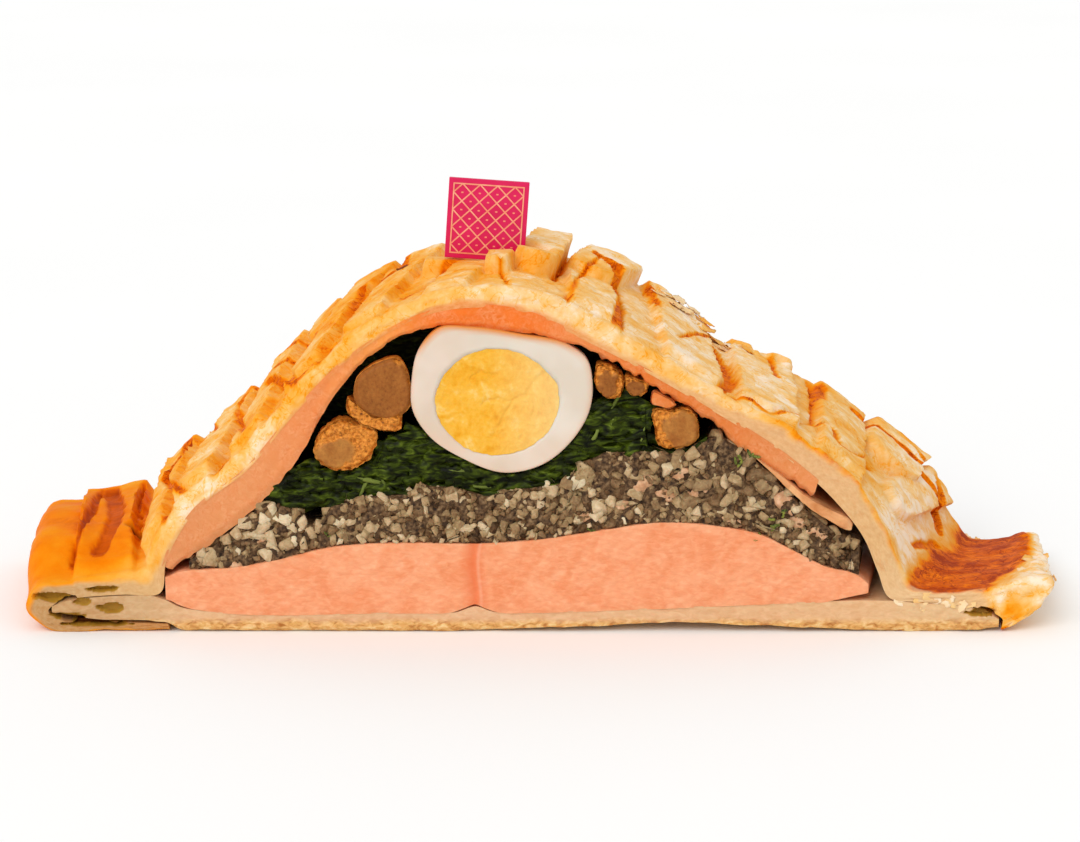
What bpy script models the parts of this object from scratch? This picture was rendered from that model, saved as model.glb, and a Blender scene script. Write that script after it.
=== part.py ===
"""A thick slice of coulibiac, a domed salmon pie, standing on its own base.

The slice is cut front and back, so every layer of the filling shows at both cuts and runs
through between them. Sizes are in millimetres until a mesh is made, which is in metres.
+X runs along the slice, -Y is the front cut, +Z is up. The origin is under the middle, where
the slice rests.
"""
import math
import random

import bmesh
import bpy
import numpy as np
from mathutils import Matrix, Vector, noise

# Driving dimensions, in millimetres
MM = 0.001
DEPTH = 70.0                # from the front cut to the back cut
HALF_DEPTH = DEPTH / 2
TOE = 141.3                 # from the middle to the outer edge of each rim
TOE_SPREAD = 8.5            # how much further out that edge is at the back cut
LEFT_FOOT = 108.5           # from the middle to where the dome meets each rim, at the front
RIGHT_FOOT = 102.0
SPREAD_LEFT = 5.0           # how much further out the flanks of the dome are at the back
SPREAD_RIGHT = 14.0
SPREAD_POWER = 1.3          # the flanks spread more towards their feet
FLARE_RIGHT = 10.0          # and how much more its right foot is, over the last stretch
FLARE_REACH = 17.0
BACK_HUMP = 6.5             # the right shoulder of the dome stands this much higher at the back
BACK_HUMP_AT = 24.0
BACK_HUMP_REACH = 27.0
LEFT_RIM_RISE = 0.32        # the left rim is thicker at the back, and the right one thinner
RIGHT_RIM_DROP = 0.42
LEFT_PUFF = 6.0             # the left rim puffed up this much more behind its front cut
GAP = 0.35                  # clearance between pieces that touch
COLUMN = 3.0                # spacing of the columns that the filling's layers share
SEED = 7

# The lid's section at the front cut, from the turned-under flap at the left, over the dome, to
# the nose of the right rim: outer x, outer z, inner x, inner z
LID_SECTION = [
    (-102.0, 0.2, -102.4, 2.2),
    (-119.0, 0.0, -118.0, 2.6),
    (-134.5, 0.2, -131.5, 3.2),
    (-141.3, 6.5, -135.2, 6.1),
    (-138.5, 12.2, -131.5, 9.0),
    (-128.5, 13.6, -126.0, 9.8),
    (-116.0, 15.8, -114.5, 10.6),
    (-108.5, 18.4, -104.4, 11.0),
    (-104.6, 27.0, -102.4, 20.0),
    (-97.8, 36.0, -95.2, 32.8),
    (-82.2, 48.8, -79.6, 45.8),
    (-67.8, 65.8, -64.8, 63.2),
    (-51.4, 82.0, -48.6, 78.8),
    (-29.0, 93.8, -27.6, 89.6),
    (-5.0, 96.0, -6.0, 89.8),
    (17.5, 86.0, 14.5, 80.6),
    (48.5, 67.2, 45.4, 63.2),
    (71.6, 54.6, 67.0, 49.2),
    (87.0, 40.4, 80.5, 37.0),
    (94.6, 28.0, 88.6, 26.4),
    (98.3, 19.0, 92.4, 17.4),
    (102.0, 12.8, 96.0, 9.6),
    (108.5, 11.8, 104.0, 8.6),
    (118.0, 12.0, 113.5, 7.8),
    (127.0, 13.2, 120.0, 6.9),
    (135.0, 15.6, 125.0, 5.2),
    (141.0, 13.6, 127.2, 3.6),
    (138.8, 9.0, 127.3, 2.4),
    (133.8, 4.6, 127.1, 1.4),
    (128.8, 0.3, 126.9, 0.5),
]
LID_COLUMNS = 120
LID_STATIONS = [            # y of the rows of the lid's outer surface
    -35.0, -29.0, -23.0, -17.0, -11.0, -6.0, -1.0, 4.0, 10.0, 16.0, 22.5, 29.0, 35.0,
]
LID_ROWS = 3                # rows of flaky layers across its cut

# The underside of the salmon lining at the front cut, from the left foot to its free right edge
LINING_FIRST_Z = 18.5       # the lining starts at this height on the lid's inner side
LINING_LAST_X = 75.5        # and ends at this x on it
LINING_INNER = [
    (-100.8, 17.8), (-88.5, 26.0), (-73.5, 39.5), (-64.5, 50.5), (-57.5, 63.5), (-46.0, 77.0),
    (-36.0, 83.2), (-25.0, 86.6), (-10.0, 85.8), (5.0, 83.0), (14.0, 78.6), (26.0, 72.6),
    (42.5, 61.2), (56.5, 52.2), (66.0, 45.5), (74.5, 39.4),
]

# Heights of the filling's layers at the front cut: x, z
BASE_TOP = [
    (-134.2, 6.9), (-131.0, 8.2), (-126.0, 9.1), (-116.0, 9.8), (-105.0, 9.6), (-98.0, 6.4), (-90.0, 5.5),
    (-40.0, 5.2), (0.0, 5.4), (44.0, 7.0), (72.0, 8.2), (96.0, 8.5), (104.0, 7.9),
    (114.0, 7.2), (120.0, 6.1), (126.2, 3.2),
]
BASE_BOTTOM = [
    (-134.2, 5.2), (-131.0, 3.9), (-126.0, 3.4), (-112.0, 3.2), (-103.0, 2.8), (-99.5, 0.4), (-96.0, 0.0),
    (120.0, 0.0), (126.2, 0.7),
]
BASE_LIFT = 2.2             # the base's front edge is baked up off the floor by this much
BASE_LIFT_AT = 40.0
BASE_LIFT_REACH = 62.0
FILLET_TOP = [
    (-102.0, 15.4), (-99.0, 16.8), (-93.0, 17.6), (-84.0, 18.2), (-72.0, 20.4), (-57.0, 24.0), (-36.0, 25.2),
    (-18.0, 25.0), (0.0, 26.2), (18.0, 29.0), (33.0, 31.0), (48.0, 30.0), (60.0, 27.6),
    (69.0, 23.2), (78.0, 18.6), (87.0, 16.0), (90.0, 13.6),
]
FILLET_NOTCH_X = -18.0      # the two lobes of the fillet meet here, over a small notch
FILLET_NOTCH = 2.6
FILLET_NOTCH_REACH = 7.0
FILLET_END_LIFT = 2.4       # the underside curls up towards the two thin ends
MINCE_TOP = [
    (-96.0, 19.8), (-93.0, 21.8), (-90.0, 23.4), (-84.0, 28.4), (-75.0, 36.2), (-66.0, 35.0),
    (-57.0, 35.0), (-48.0, 38.0), (-36.0, 39.0), (-33.0, 41.2), (-24.0, 40.6), (-15.0, 38.4), (-3.0, 40.6),
    (6.0, 42.0), (12.0, 47.6), (18.0, 50.4), (27.0, 50.8), (39.0, 49.6), (45.0, 53.8),
    (48.0, 55.0), (54.0, 51.8), (60.0, 46.6), (66.0, 40.4), (72.0, 34.4), (81.0, 27.4),
    (87.0, 25.4),
]
SPINACH_TOP = [
    (-75.0, 37.6), (-69.0, 42.6), (-66.0, 45.6), (-63.0, 47.2), (-57.0, 44.4), (-51.0, 44.4),
    (-45.0, 48.4), (-42.0, 53.6), (-39.0, 55.6), (-36.0, 56.4), (18.0, 65.0), (27.0, 65.2),
    (30.0, 51.9), (42.0, 51.4), (45.0, 54.8),
]
EGG_CLEARANCE = 0.9         # the greens stay this far under the egg
SPINACH_WALL = 4.6          # between the two eggs the greens fill the dome, to this y each way
SPINACH_ROOM = 1.8          # and end this far under the lining

# Outlines of the pieces in the filling at the front cut: x, z, anticlockwise
EGG = [
    (14.2, 70.0), (12.6, 76.6), (8.0, 80.4), (-6.0, 83.8), (-18.0, 85.6), (-27.0, 85.4),
    (-32.6, 79.4), (-34.6, 71.0), (-34.4, 62.6), (-30.0, 55.4), (-20.9, 49.2), (-9.5, 45.2),
    (0.5, 47.4), (9.0, 54.6), (13.4, 62.6),
]
EGG_HALF_LENGTH = 28.0
YOLK_CENTRE = (-11.6, 65.0)
YOLK_RADII = (17.0, 14.6)
YOLK_HALF_LENGTH = 16.0
MUSHROOM_CUP = [
    (-49.2, 70.6), (-49.6, 65.6), (-46.4, 61.6), (-39.6, 61.2), (-36.4, 64.4), (-36.4, 69.0),
    (-39.6, 76.0), (-43.6, 74.8),
]
MUSHROOM_RAGGED = [
    (-51.4, 65.4), (-51.8, 62.4), (-47.6, 58.6), (-43.6, 57.2), (-38.4, 57.4), (-37.4, 60.4),
    (-46.6, 60.8), (-50.2, 64.6),
]
MUSHROOM_STEM = [
    (-54.6, 59.4), (-60.6, 52.4), (-60.0, 49.0), (-56.0, 46.4), (-51.4, 46.4), (-46.4, 49.8),
    (-45.2, 56.6), (-49.0, 58.0),
]
MUSHROOM_SMALL = [
    (15.6, 74.6), (15.6, 68.6), (17.4, 66.4), (21.4, 66.6), (22.4, 70.0), (20.6, 73.0),
]
MUSHROOM_MIDDLE = [
    (23.2, 71.4), (23.4, 68.2), (26.0, 66.6), (28.4, 67.2), (29.0, 69.4), (26.4, 70.8),
]
SALMON_FLAKE = [
    (30.6, 67.6), (30.2, 64.6), (32.4, 63.8), (34.6, 63.2), (36.4, 64.0), (33.6, 66.4),
]
MUSHROOM_SQUARE = [
    (31.2, 62.6), (31.4, 56.6), (32.6, 53.0), (38.0, 52.6), (42.0, 54.6), (42.4, 58.6),
    (40.6, 62.0), (35.6, 62.4),
]
SALMON_CURL = [
    (58.6, 49.2), (62.6, 45.4), (66.8, 41.2), (71.6, 36.6), (77.6, 32.4), (84.4, 29.8),
    (84.2, 31.4), (77.8, 35.2), (71.0, 39.8), (64.6, 45.2),
]
PIECE_DEPTH = 15.0          # a piece of mushroom reaches this far into the filling
CURL_DEPTH = 24.0

# Coarse pieces of the mince that stand out of its cuts
MINCE_PIECE = 4.6
MINCE_PIECES = 38           # on each cut
MINCE_RECESS = 1.3          # the paste between them lies this far back

# The plaque on the crown
PLAQUE_SIZE = (22.4, 1.2, 22.6)
PLAQUE_CENTRE_X = -15.6
PLAQUE_Y = 1.5
PLAQUE_FOOT_Z = 97.6
PLAQUE_TILT = math.radians(4.0)
SEAT_MARGIN = 2.5           # the crust is level with the plaque's foot this far round it
SEAT_REACH = 4.0            # and then blends into the strips over this distance

STRIP_EDGE = 2.0            # the side of a pastry strip slopes over this width

# Pastry strips laid on the lid: how far along its section and at which y both ends are, then
# their width and height
STRIPS = [
    (68.0, -40.0, 68.0, 40.0, 17.0, 2.4),
    (86.0, -40.0, 98.0, 40.0, 12.0, 3.0),
    (104.0, -40.0, 121.0, 40.0, 13.0, 3.6),
    (124.0, -40.0, 143.0, 40.0, 13.0, 3.2),
    (146.0, -40.0, 176.0, 40.0, 13.0, 3.2),
    (169.0, -40.0, 190.0, 40.0, 12.0, 2.8),
    (193.0, -40.0, 206.0, 8.0, 11.0, 2.0),
    (209.0, -13.0, 210.5, -5.0, 7.0, 5.0),
    (219.0, -4.0, 224.0, 40.0, 11.0, 6.4),
    (238.0, -40.0, 236.0, 10.0, 16.0, 2.4),
    (236.0, 12.0, 243.0, 40.0, 16.0, 4.8),
    (269.0, -40.0, 261.0, 40.0, 18.0, 2.6),
    (292.0, -40.0, 287.0, 40.0, 18.0, 2.4),
    (316.0, -40.0, 312.0, 40.0, 16.0, 2.4),
    (336.0, -10.0, 345.0, 40.0, 12.0, 2.2),
    (155.0, 18.0, 157.0, 40.0, 11.0, 2.8),
    (329.0, 14.0, 329.0, 40.0, 15.0, 3.6),
]


def smoothstep(value):
    value = min(max(value, 0.0), 1.0)
    return value * value * (3.0 - 2.0 * value)


def place(x, z, y):
    """A point of the front section, moved to depth y, where the dome is wider, in metres."""
    share = min(max((y + HALF_DEPTH) / DEPTH, 0.0), 1.0)
    if x > 0.0:
        foot, spread, flare, side = RIGHT_FOOT, SPREAD_RIGHT, FLARE_RIGHT, 1.0
        rim = 1.0 - RIGHT_RIM_DROP * share * smoothstep((x - RIGHT_FOOT + 3.0) / 10.0)
    else:
        foot, spread, flare, side = LEFT_FOOT, SPREAD_LEFT, 0.0, -1.0
        rim = 1.0 + LEFT_RIM_RISE * share * smoothstep((-x - LEFT_FOOT + 5.0) / 8.0)
    reach = abs(x)
    if reach < foot:
        shift = spread * (reach / foot) ** SPREAD_POWER
        shift += flare * smoothstep(1.0 - (foot - reach) / FLARE_REACH)
    else:
        shift = TOE_SPREAD + (spread + flare - TOE_SPREAD) * (TOE - reach) / (TOE - foot)
    hump = smoothstep(1.0 - abs(x - BACK_HUMP_AT) / BACK_HUMP_REACH) * smoothstep(z / 80.0 - 0.4)
    height = max(z * rim + BACK_HUMP * share * hump, 0.0)
    return Vector(((x + side * shift * share) * MM, y * MM, height * MM))


def smooth_curve(points, count, closed=False):
    """Evenly spaced points on the smooth curve through the given ones, as rows of an array."""
    through = np.array(points, float)
    if closed:
        through = np.vstack([through[-2:], through, through[:3]])
    gaps = np.linalg.norm(np.diff(through, axis=0), axis=1)
    knots = np.concatenate([[0.0], np.cumsum(gaps)])
    slopes = np.gradient(through, knots, axis=0)
    first = 2 if closed else 0
    last = len(through) - 2 if closed else len(through)
    dense = []
    for i in range(first, last - 1):
        step = gaps[i]
        for s in np.linspace(0.0, 1.0, 24, endpoint=False):
            dense.append(
                (2 * s**3 - 3 * s**2 + 1) * through[i]
                + (s**3 - 2 * s**2 + s) * step * slopes[i]
                + (3 * s**2 - 2 * s**3) * through[i + 1]
                + (s**3 - s**2) * step * slopes[i + 1]
            )
    dense.append(through[last - 1])
    dense = np.array(dense)
    run = np.concatenate([[0.0], np.cumsum(np.linalg.norm(np.diff(dense, axis=0), axis=1))])
    wanted = np.linspace(0.0, run[-1], count, endpoint=not closed)
    return np.stack([np.interp(wanted, run, dense[:, c]) for c in range(dense.shape[1])], axis=1)


def heights(points, xs, smooth=True):
    """The layer's height at each x."""
    line = smooth_curve(points, 400) if smooth else np.array(points, float)
    return np.interp(xs, line[:, 0], line[:, 1])


def columns(first, last):
    """The x of the shared columns between two of them."""
    return np.arange(first, last + COLUMN / 2, COLUMN)


def normals(line):
    """Unit normals of a line of points, on its left hand."""
    along = np.gradient(line, axis=0)
    along /= np.linalg.norm(along, axis=1)[:, None]
    return np.stack([-along[:, 1], along[:, 0]], axis=1)


def make_object(name, bm, material, smooth_angle=None):
    """Finish a mesh as a named object with its material."""
    bmesh.ops.recalc_face_normals(bm, faces=bm.faces)
    many_sided = [face for face in bm.faces if len(face.verts) > 4]
    bmesh.ops.triangulate(bm, faces=many_sided)
    mesh = bpy.data.meshes.new(name)
    bm.to_mesh(mesh)
    bm.free()
    if smooth_angle:
        mesh.shade_smooth()
        mesh.set_sharp_from_angle(angle=smooth_angle)
    mesh.materials.append(material)
    piece = bpy.data.objects.new(name, mesh)
    bpy.context.collection.objects.link(piece)
    return piece


def make_material(name, colour, roughness):
    material = bpy.data.materials.new(name)
    material.use_nodes = True
    shader = material.node_tree.nodes["Principled BSDF"]
    shader.inputs["Base Color"].default_value = (*colour, 1.0)
    shader.inputs["Roughness"].default_value = roughness
    return material


def make_layer(name, upper, lower, material, rows, depths=(-HALF_DEPTH, HALF_DEPTH),
               relief=None, face=None, lower_relief=None):
    """A layer through the slice, between two lines of its section.

    The upper side has a row of points at each depth, and the lower side only spans from cut to
    cut, unless it has a relief of its own. relief(index, y) moves a point of the upper side, and
    face(x, z) sets the cut back from the cutting plane.
    """
    bm = bmesh.new()
    count = len(upper)

    def cut_vertex(i, j, side):
        share = j / rows
        point = lower[i] + (upper[i] - lower[i]) * share
        back = face(point[0], point[1]) if face else 0.0
        y = side * (HALF_DEPTH - back)
        if relief and j == rows:
            point = point + relief(i, side * HALF_DEPTH)
        lift = lower_relief(point[0], y) if lower_relief and j == 0 else 0.0
        return bm.verts.new(place(point[0], point[1] + lift, y))

    front = [[cut_vertex(i, j, -1.0) for j in range(rows + 1)] for i in range(count)]
    back = [[cut_vertex(i, j, 1.0) for j in range(rows + 1)] for i in range(count)]
    top = [[front[i][rows] for i in range(count)]]
    bottom = [[front[i][0] for i in range(count)]]
    for y in depths[1:-1]:
        row = []
        for i in range(count):
            point = upper[i] + relief(i, y) if relief else upper[i]
            row.append(bm.verts.new(place(point[0], point[1], y)))
        top.append(row)
        if lower_relief:
            low = [bm.verts.new(place(p[0], p[1] + lower_relief(p[0], y), y)) for p in lower]
            bottom.append(low)
    top.append([back[i][rows] for i in range(count)])
    bottom.append([back[i][0] for i in range(count)])
    for i in range(count - 1):
        for j in range(rows):
            bm.faces.new((front[i][j], front[i + 1][j], front[i + 1][j + 1], front[i][j + 1]))
            bm.faces.new((back[i][j + 1], back[i + 1][j + 1], back[i + 1][j], back[i][j]))
        for near, far in zip(top, top[1:]):
            bm.faces.new((near[i], near[i + 1], far[i + 1], far[i]))
        for near, far in zip(bottom, bottom[1:]):
            bm.faces.new((far[i], far[i + 1], near[i + 1], near[i]))
    for i, turn in ((0, 1), (count - 1, -1)):
        ring = [front[i][j] for j in range(rows + 1)]
        ring += [row[i] for row in top[1:-1]]
        ring += [back[i][j] for j in range(rows, -1, -1)]
        ring += [row[i] for row in bottom[-2:0:-1]]
        bm.faces.new(ring[::turn])
    return make_object(name, bm, material)


def make_chunk(name, outline, points, depth, side, material, bulge=0.0):
    """A piece of filling with a flat cut at one of the slice's cuts and a rounded inner end."""
    ring = smooth_curve(outline, points, closed=True)
    centre = ring.mean(axis=0)
    bm = bmesh.new()
    rings = []
    for share, size in ((0.0, 0.96), (0.07, 1.0), (0.5, 0.97), (0.82, 0.78), (0.97, 0.42)):
        y = side * (HALF_DEPTH + bulge - share * depth)
        rings.append([bm.verts.new(place(*(centre + (p - centre) * size), y)) for p in ring])
    for near, far in zip(rings, rings[1:]):
        for i in range(points):
            after = (i + 1) % points
            bm.faces.new((near[i], near[after], far[after], far[i]))
    for edge, y in ((rings[0], side * (HALF_DEPTH + bulge)),
                    (rings[-1], side * (HALF_DEPTH + bulge - depth))):
        tip = bm.verts.new(place(centre[0], centre[1], y))
        for i in range(points):
            bm.faces.new((edge[i], edge[(i + 1) % points], tip))
    return make_object(name, bm, material, math.radians(50.0))


def dome_rings(bm, ring, centre, half_length, side, steps):
    """Rings of a half egg whose widest ring is its cut, and its far end."""
    rings = []
    for k in range(steps):
        angle = math.pi / 2 * k / steps
        y = side * (HALF_DEPTH - half_length * math.sin(angle))
        size = math.cos(angle) ** 0.8
        rings.append([bm.verts.new(place(*(centre + (p - centre) * size), y)) for p in ring])
    tip = bm.verts.new(place(centre[0], centre[1], side * (HALF_DEPTH - half_length)))
    return rings, tip


def skin_rings(bm, rings, tip):
    points = len(rings[0])
    for near, far in zip(rings, rings[1:]):
        for i in range(points):
            after = (i + 1) % points
            bm.faces.new((near[i], near[after], far[after], far[i]))
    for i in range(points):
        bm.faces.new((rings[-1][i], rings[-1][(i + 1) % points], tip))


def oval(centre, radii, points):
    angles = np.linspace(0.0, 2 * math.pi, points, endpoint=False)
    return np.stack([centre[0] + radii[0] * np.cos(angles),
                     centre[1] + radii[1] * np.sin(angles)], axis=1)


def egg_ring(points):
    """The egg's outline with its points at even angles round the yolk, as the yolk's are."""
    fine = smooth_curve(EGG, 720, closed=True) - np.array(YOLK_CENTRE)
    turn = np.unwrap(np.arctan2(fine[:, 1], fine[:, 0]))
    radius = np.linalg.norm(fine, axis=1)
    order = np.argsort(turn % (2 * math.pi))
    angles = np.linspace(0.0, 2 * math.pi, points, endpoint=False)
    reach = np.interp(angles, (turn % (2 * math.pi))[order], radius[order], period=2 * math.pi)
    return np.stack([YOLK_CENTRE[0] + reach * np.cos(angles),
                     YOLK_CENTRE[1] + reach * np.sin(angles)], axis=1)


def make_half_egg(place_name, side, white, yolk):
    """Half a hard-boiled egg with its cut at one of the slice's cuts."""
    points = 20
    outline = egg_ring(points)
    centre = outline.mean(axis=0)
    yolk_centre = np.array(YOLK_CENTRE)
    hollow = oval(YOLK_CENTRE, (YOLK_RADII[0] + GAP, YOLK_RADII[1] + GAP), points)
    bm = bmesh.new()
    outer, far_end = dome_rings(bm, outline, centre, EGG_HALF_LENGTH, side, 6)
    inner, bed = dome_rings(bm, hollow, yolk_centre, YOLK_HALF_LENGTH + GAP, side, 4)
    skin_rings(bm, outer, far_end)
    skin_rings(bm, inner, bed)
    for i in range(points):
        after = (i + 1) % points
        bm.faces.new((outer[0][i], outer[0][after], inner[0][after], inner[0][i]))
    make_object("egg_white_" + place_name, bm, white, math.radians(50.0))

    bm = bmesh.new()
    rings, bed = dome_rings(bm, oval(YOLK_CENTRE, YOLK_RADII, points), yolk_centre,
                            YOLK_HALF_LENGTH, side, 4)
    skin_rings(bm, rings, bed)
    middle = bm.verts.new(place(YOLK_CENTRE[0], YOLK_CENTRE[1], side * (HALF_DEPTH - 0.3)))
    for i in range(points):
        bm.faces.new((rings[0][i], rings[0][(i + 1) % points], middle))
    make_object("egg_yolk_" + place_name, bm, yolk, math.radians(50.0))


def flaky(x, z):
    """How far the flaky layers of a pastry cut are set back."""
    return 0.25 + 0.55 * noise.noise(Vector((x * 0.11, z * 0.55, 3.0)))


def fibrous(x, z):
    """The shallow diagonal fibres on a cut of salmon."""
    return 0.2 + 0.35 * noise.noise(Vector(((x + z) * 0.12, (z - x) * 0.04, 8.0)))


def leafy(x, z):
    """Folds of cooked leaves at a cut."""
    return 1.0 + 1.5 * noise.noise(Vector((x * 0.16, z * 0.33, 5.0)))


# The lid and its lining
def make_lid(pastry):
    section = smooth_curve(LID_SECTION, LID_COLUMNS)
    outer = section[:, 0:2]
    inner = section[:, 2:4]
    run = np.concatenate([[0.0], np.cumsum(np.linalg.norm(np.diff(outer, axis=0), axis=1))])

    out = normals(outer)

    def relief(i, y):
        x = outer[i][0]
        raised = strips_relief(run[i], y)
        beside = abs(x - PLAQUE_CENTRE_X) - PLAQUE_SIZE[0] / 2
        away = max(beside, abs(y - PLAQUE_Y)) - SEAT_MARGIN
        seat = smoothstep(1.0 - max(away, 0.0) / SEAT_REACH)
        seat_z = PLAQUE_FOOT_Z - (x - PLAQUE_CENTRE_X) * math.tan(PLAQUE_TILT) - GAP
        level = (seat_z - outer[i][1]) / max(out[i][1], 0.5)
        puffed = np.array([0.0, left_puff(outer[i][0], outer[i][1], y)])
        return out[i] * (raised + (level - raised) * seat) + puffed

    make_layer("pastry_lid", outer, inner, pastry, LID_ROWS, LID_STATIONS, relief, flaky)
    return section


def left_puff(x, z, y):
    """How much higher the left rim stands at a place behind the front cut."""
    side = 0.45 * smoothstep((-x - 106.0) / 8.0) + 0.55 * smoothstep((-x - 122.0) / 8.0)
    rise = smoothstep((y + HALF_DEPTH) / 22.0) * (1.0 - 0.8 * smoothstep((y - 5.0) / 30.0))
    return LEFT_PUFF * side * rise * smoothstep((z - 3.0) / 6.0)


def strips_relief(along, y):
    """Height of the pastry strips at a place on the lid: along its section, and its depth."""
    height = 0.0
    for start, start_y, end, end_y, width, thickness in STRIPS:
        run = Vector((end - start, end_y - start_y))
        offset = Vector((along - start, y - start_y))
        share = min(max(offset.dot(run) / run.length_squared, 0.0), 1.0)
        away = (offset - run * share).length
        height = max(height, thickness * smoothstep((width / 2 - away) / STRIP_EDGE + 0.5))
    return height


def make_lining(section, salmon):
    """The sliced salmon under the lid, on the lid's own columns, so that they fit."""
    roof = section[:, 2:4]
    over = (roof[:, 1] > LINING_FIRST_Z) & (roof[:, 0] < LINING_LAST_X)
    roof = roof[over]
    upper = roof - normals(roof) * GAP
    lower = smooth_curve(LINING_INNER, len(upper))
    make_layer("salmon_lining", upper, lower, salmon, 1, face=fibrous)


def make_base(pastry):
    left = [-134.2, -131.0, -126.0, -119.0, -112.0, -106.0, -102.5]
    xs = np.array(left + list(columns(-99.0, 117.0)[::2]) + [121.0, 124.0, 126.2])
    top = np.stack([xs, heights(BASE_TOP, xs)], axis=1)
    bottom = np.stack([xs, heights(BASE_BOTTOM, xs, smooth=False)], axis=1)

    def lift(x, y):
        side = smoothstep(1.0 - abs(x - BASE_LIFT_AT) / BASE_LIFT_REACH)
        return BASE_LIFT * side * smoothstep(-y / HALF_DEPTH)

    make_layer("pastry_base", top, bottom, pastry, 2, (-HALF_DEPTH, -22.0, -8.0, HALF_DEPTH),
               face=flaky, lower_relief=lift)


def make_filling(salmon, mince, greens):
    """The fillet, the mushroom mince on it and the spinach on the mince."""
    xs = columns(-102.0, 90.0)
    fillet_top = np.stack([xs, heights(FILLET_TOP, xs)], axis=1)
    below = heights(BASE_TOP, xs) + GAP
    notch = np.clip(1.0 - np.abs(xs - FILLET_NOTCH_X) / FILLET_NOTCH_REACH, 0.0, 1.0)
    ends = np.clip((np.abs(xs + 4.5) - 82.5) / 12.0, 0.0, 1.0) * np.where(xs < 0.0, 0.3, 1.0)
    below += notch * FILLET_NOTCH + ends * FILLET_END_LIFT
    make_layer("salmon_fillet", fillet_top, np.stack([xs, below], axis=1), salmon, 3,
               face=fibrous)

    xs = columns(-96.0, 87.0)
    mince_top = np.stack([xs, heights(MINCE_TOP, xs, smooth=False)], axis=1)
    mince_low = np.stack([xs, heights(FILLET_TOP, xs) + GAP], axis=1)
    core = make_layer("mushroom_mince", mince_top, mince_low, mince, 2,
                      face=lambda x, z: MINCE_RECESS)
    add_mince_pieces(core, xs, mince_top[:, 1], mince_low[:, 1])

    xs = columns(-75.0, 45.0)
    low = heights(MINCE_TOP, xs, smooth=False) + GAP
    high = np.minimum(heights(SPINACH_TOP, xs, smooth=False), egg_underside(xs))
    high = np.maximum(high, low + 0.8)
    roof = np.interp(xs, *np.array(LINING_INNER).T) - SPINACH_ROOM

    def fill(i, y):
        return np.array([0.0, max(roof[i] - high[i], 0.0) if abs(y) < SPINACH_WALL else 0.0])

    make_layer("spinach", np.stack([xs, high], axis=1), np.stack([xs, low], axis=1), greens, 4,
               (-HALF_DEPTH, -SPINACH_WALL - 1.6, -SPINACH_WALL + 0.1, SPINACH_WALL - 0.1,
                SPINACH_WALL + 1.6, HALF_DEPTH), relief=fill, face=leafy)


def egg_underside(xs):
    """The height that the greens may reach under the egg, and no limit beside it."""
    outline = smooth_curve(EGG, 360, closed=True)
    lower = outline[outline[:, 1] < 70.0]
    lower = lower[np.argsort(lower[:, 0])]
    limit = np.interp(xs, lower[:, 0], lower[:, 1]) - EGG_CLEARANCE
    beside = (xs < lower[0, 0] - 0.5) | (xs > lower[-1, 0] + 0.5)
    return np.where(beside, 1000.0, limit)


def add_mince_pieces(core, xs, top, low):
    """Fuse coarse dice on the mince's two cuts, well inside its outline."""
    draw = random.Random(SEED)
    pieces = bpy.data.collections.new("mince_pieces")
    bpy.context.scene.collection.children.link(pieces)
    margin = MINCE_PIECE * 0.8
    for side in (-1.0, 1.0):
        placed = []
        tries = 0
        while len(placed) < MINCE_PIECES and tries < 4000:
            tries += 1
            x = draw.uniform(xs[0] + 6.0, xs[-1] - 3.0)
            z = draw.uniform(np.interp(x, xs, low) + margin, np.interp(x, xs, top) - margin)
            roof = min(np.interp(x + d, xs, top) for d in (-margin, margin))
            floor = max(np.interp(x + d, xs, low) for d in (-margin, margin))
            clear = all(math.hypot(x - a, z - b) > MINCE_PIECE * 1.35 for a, b in placed)
            if not (clear and floor + margin < z < roof - margin):
                continue
            placed.append((x, z))
            size = MINCE_PIECE * draw.uniform(0.75, 1.1)
            centre = place(x, z, side * (HALF_DEPTH + 0.4 - size / 2))
            turn = Matrix.Rotation(draw.uniform(0.0, math.pi), 4, "Y")
            lean = Matrix.Rotation(draw.uniform(-0.25, 0.25), 4, "X")
            bm = bmesh.new()
            bmesh.ops.create_cube(bm, size=size * MM,
                                  matrix=Matrix.Translation(centre) @ turn @ lean)
            mesh = bpy.data.meshes.new("dice")
            bm.to_mesh(mesh)
            bm.free()
            pieces.objects.link(bpy.data.objects.new("dice", mesh))
    union = core.modifiers.new("pieces", "BOOLEAN")
    union.operation = "UNION"
    union.solver = "MANIFOLD"
    union.operand_type = "COLLECTION"
    union.collection = pieces
    bpy.context.view_layer.update()
    joined = bpy.data.meshes.new_from_object(
        core.evaluated_get(bpy.context.evaluated_depsgraph_get()))
    core.modifiers.clear()
    core.data = joined
    for dice in list(pieces.objects):
        bpy.data.objects.remove(dice, do_unlink=True)
    bpy.data.collections.remove(pieces)


def make_plaque(card):
    """The thin upright plaque, whose foot stands on the crust."""
    bm = bmesh.new()
    bmesh.ops.create_cube(bm, size=1.0, matrix=Matrix.Diagonal(
        (PLAQUE_SIZE[0] * MM, PLAQUE_SIZE[1] * MM, PLAQUE_SIZE[2] * MM, 1.0)))
    bmesh.ops.translate(bm, verts=bm.verts, vec=(0.0, 0.0, PLAQUE_SIZE[2] / 2 * MM))
    bmesh.ops.bevel(bm, geom=bm.edges, offset=0.25 * MM, segments=1, affect="EDGES")
    plaque = make_object("plaque", bm, card)
    plaque.location = (PLAQUE_CENTRE_X * MM, PLAQUE_Y * MM, PLAQUE_FOOT_Z * MM)
    plaque.rotation_euler = (0.0, PLAQUE_TILT, 0.0)
    return plaque


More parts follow.
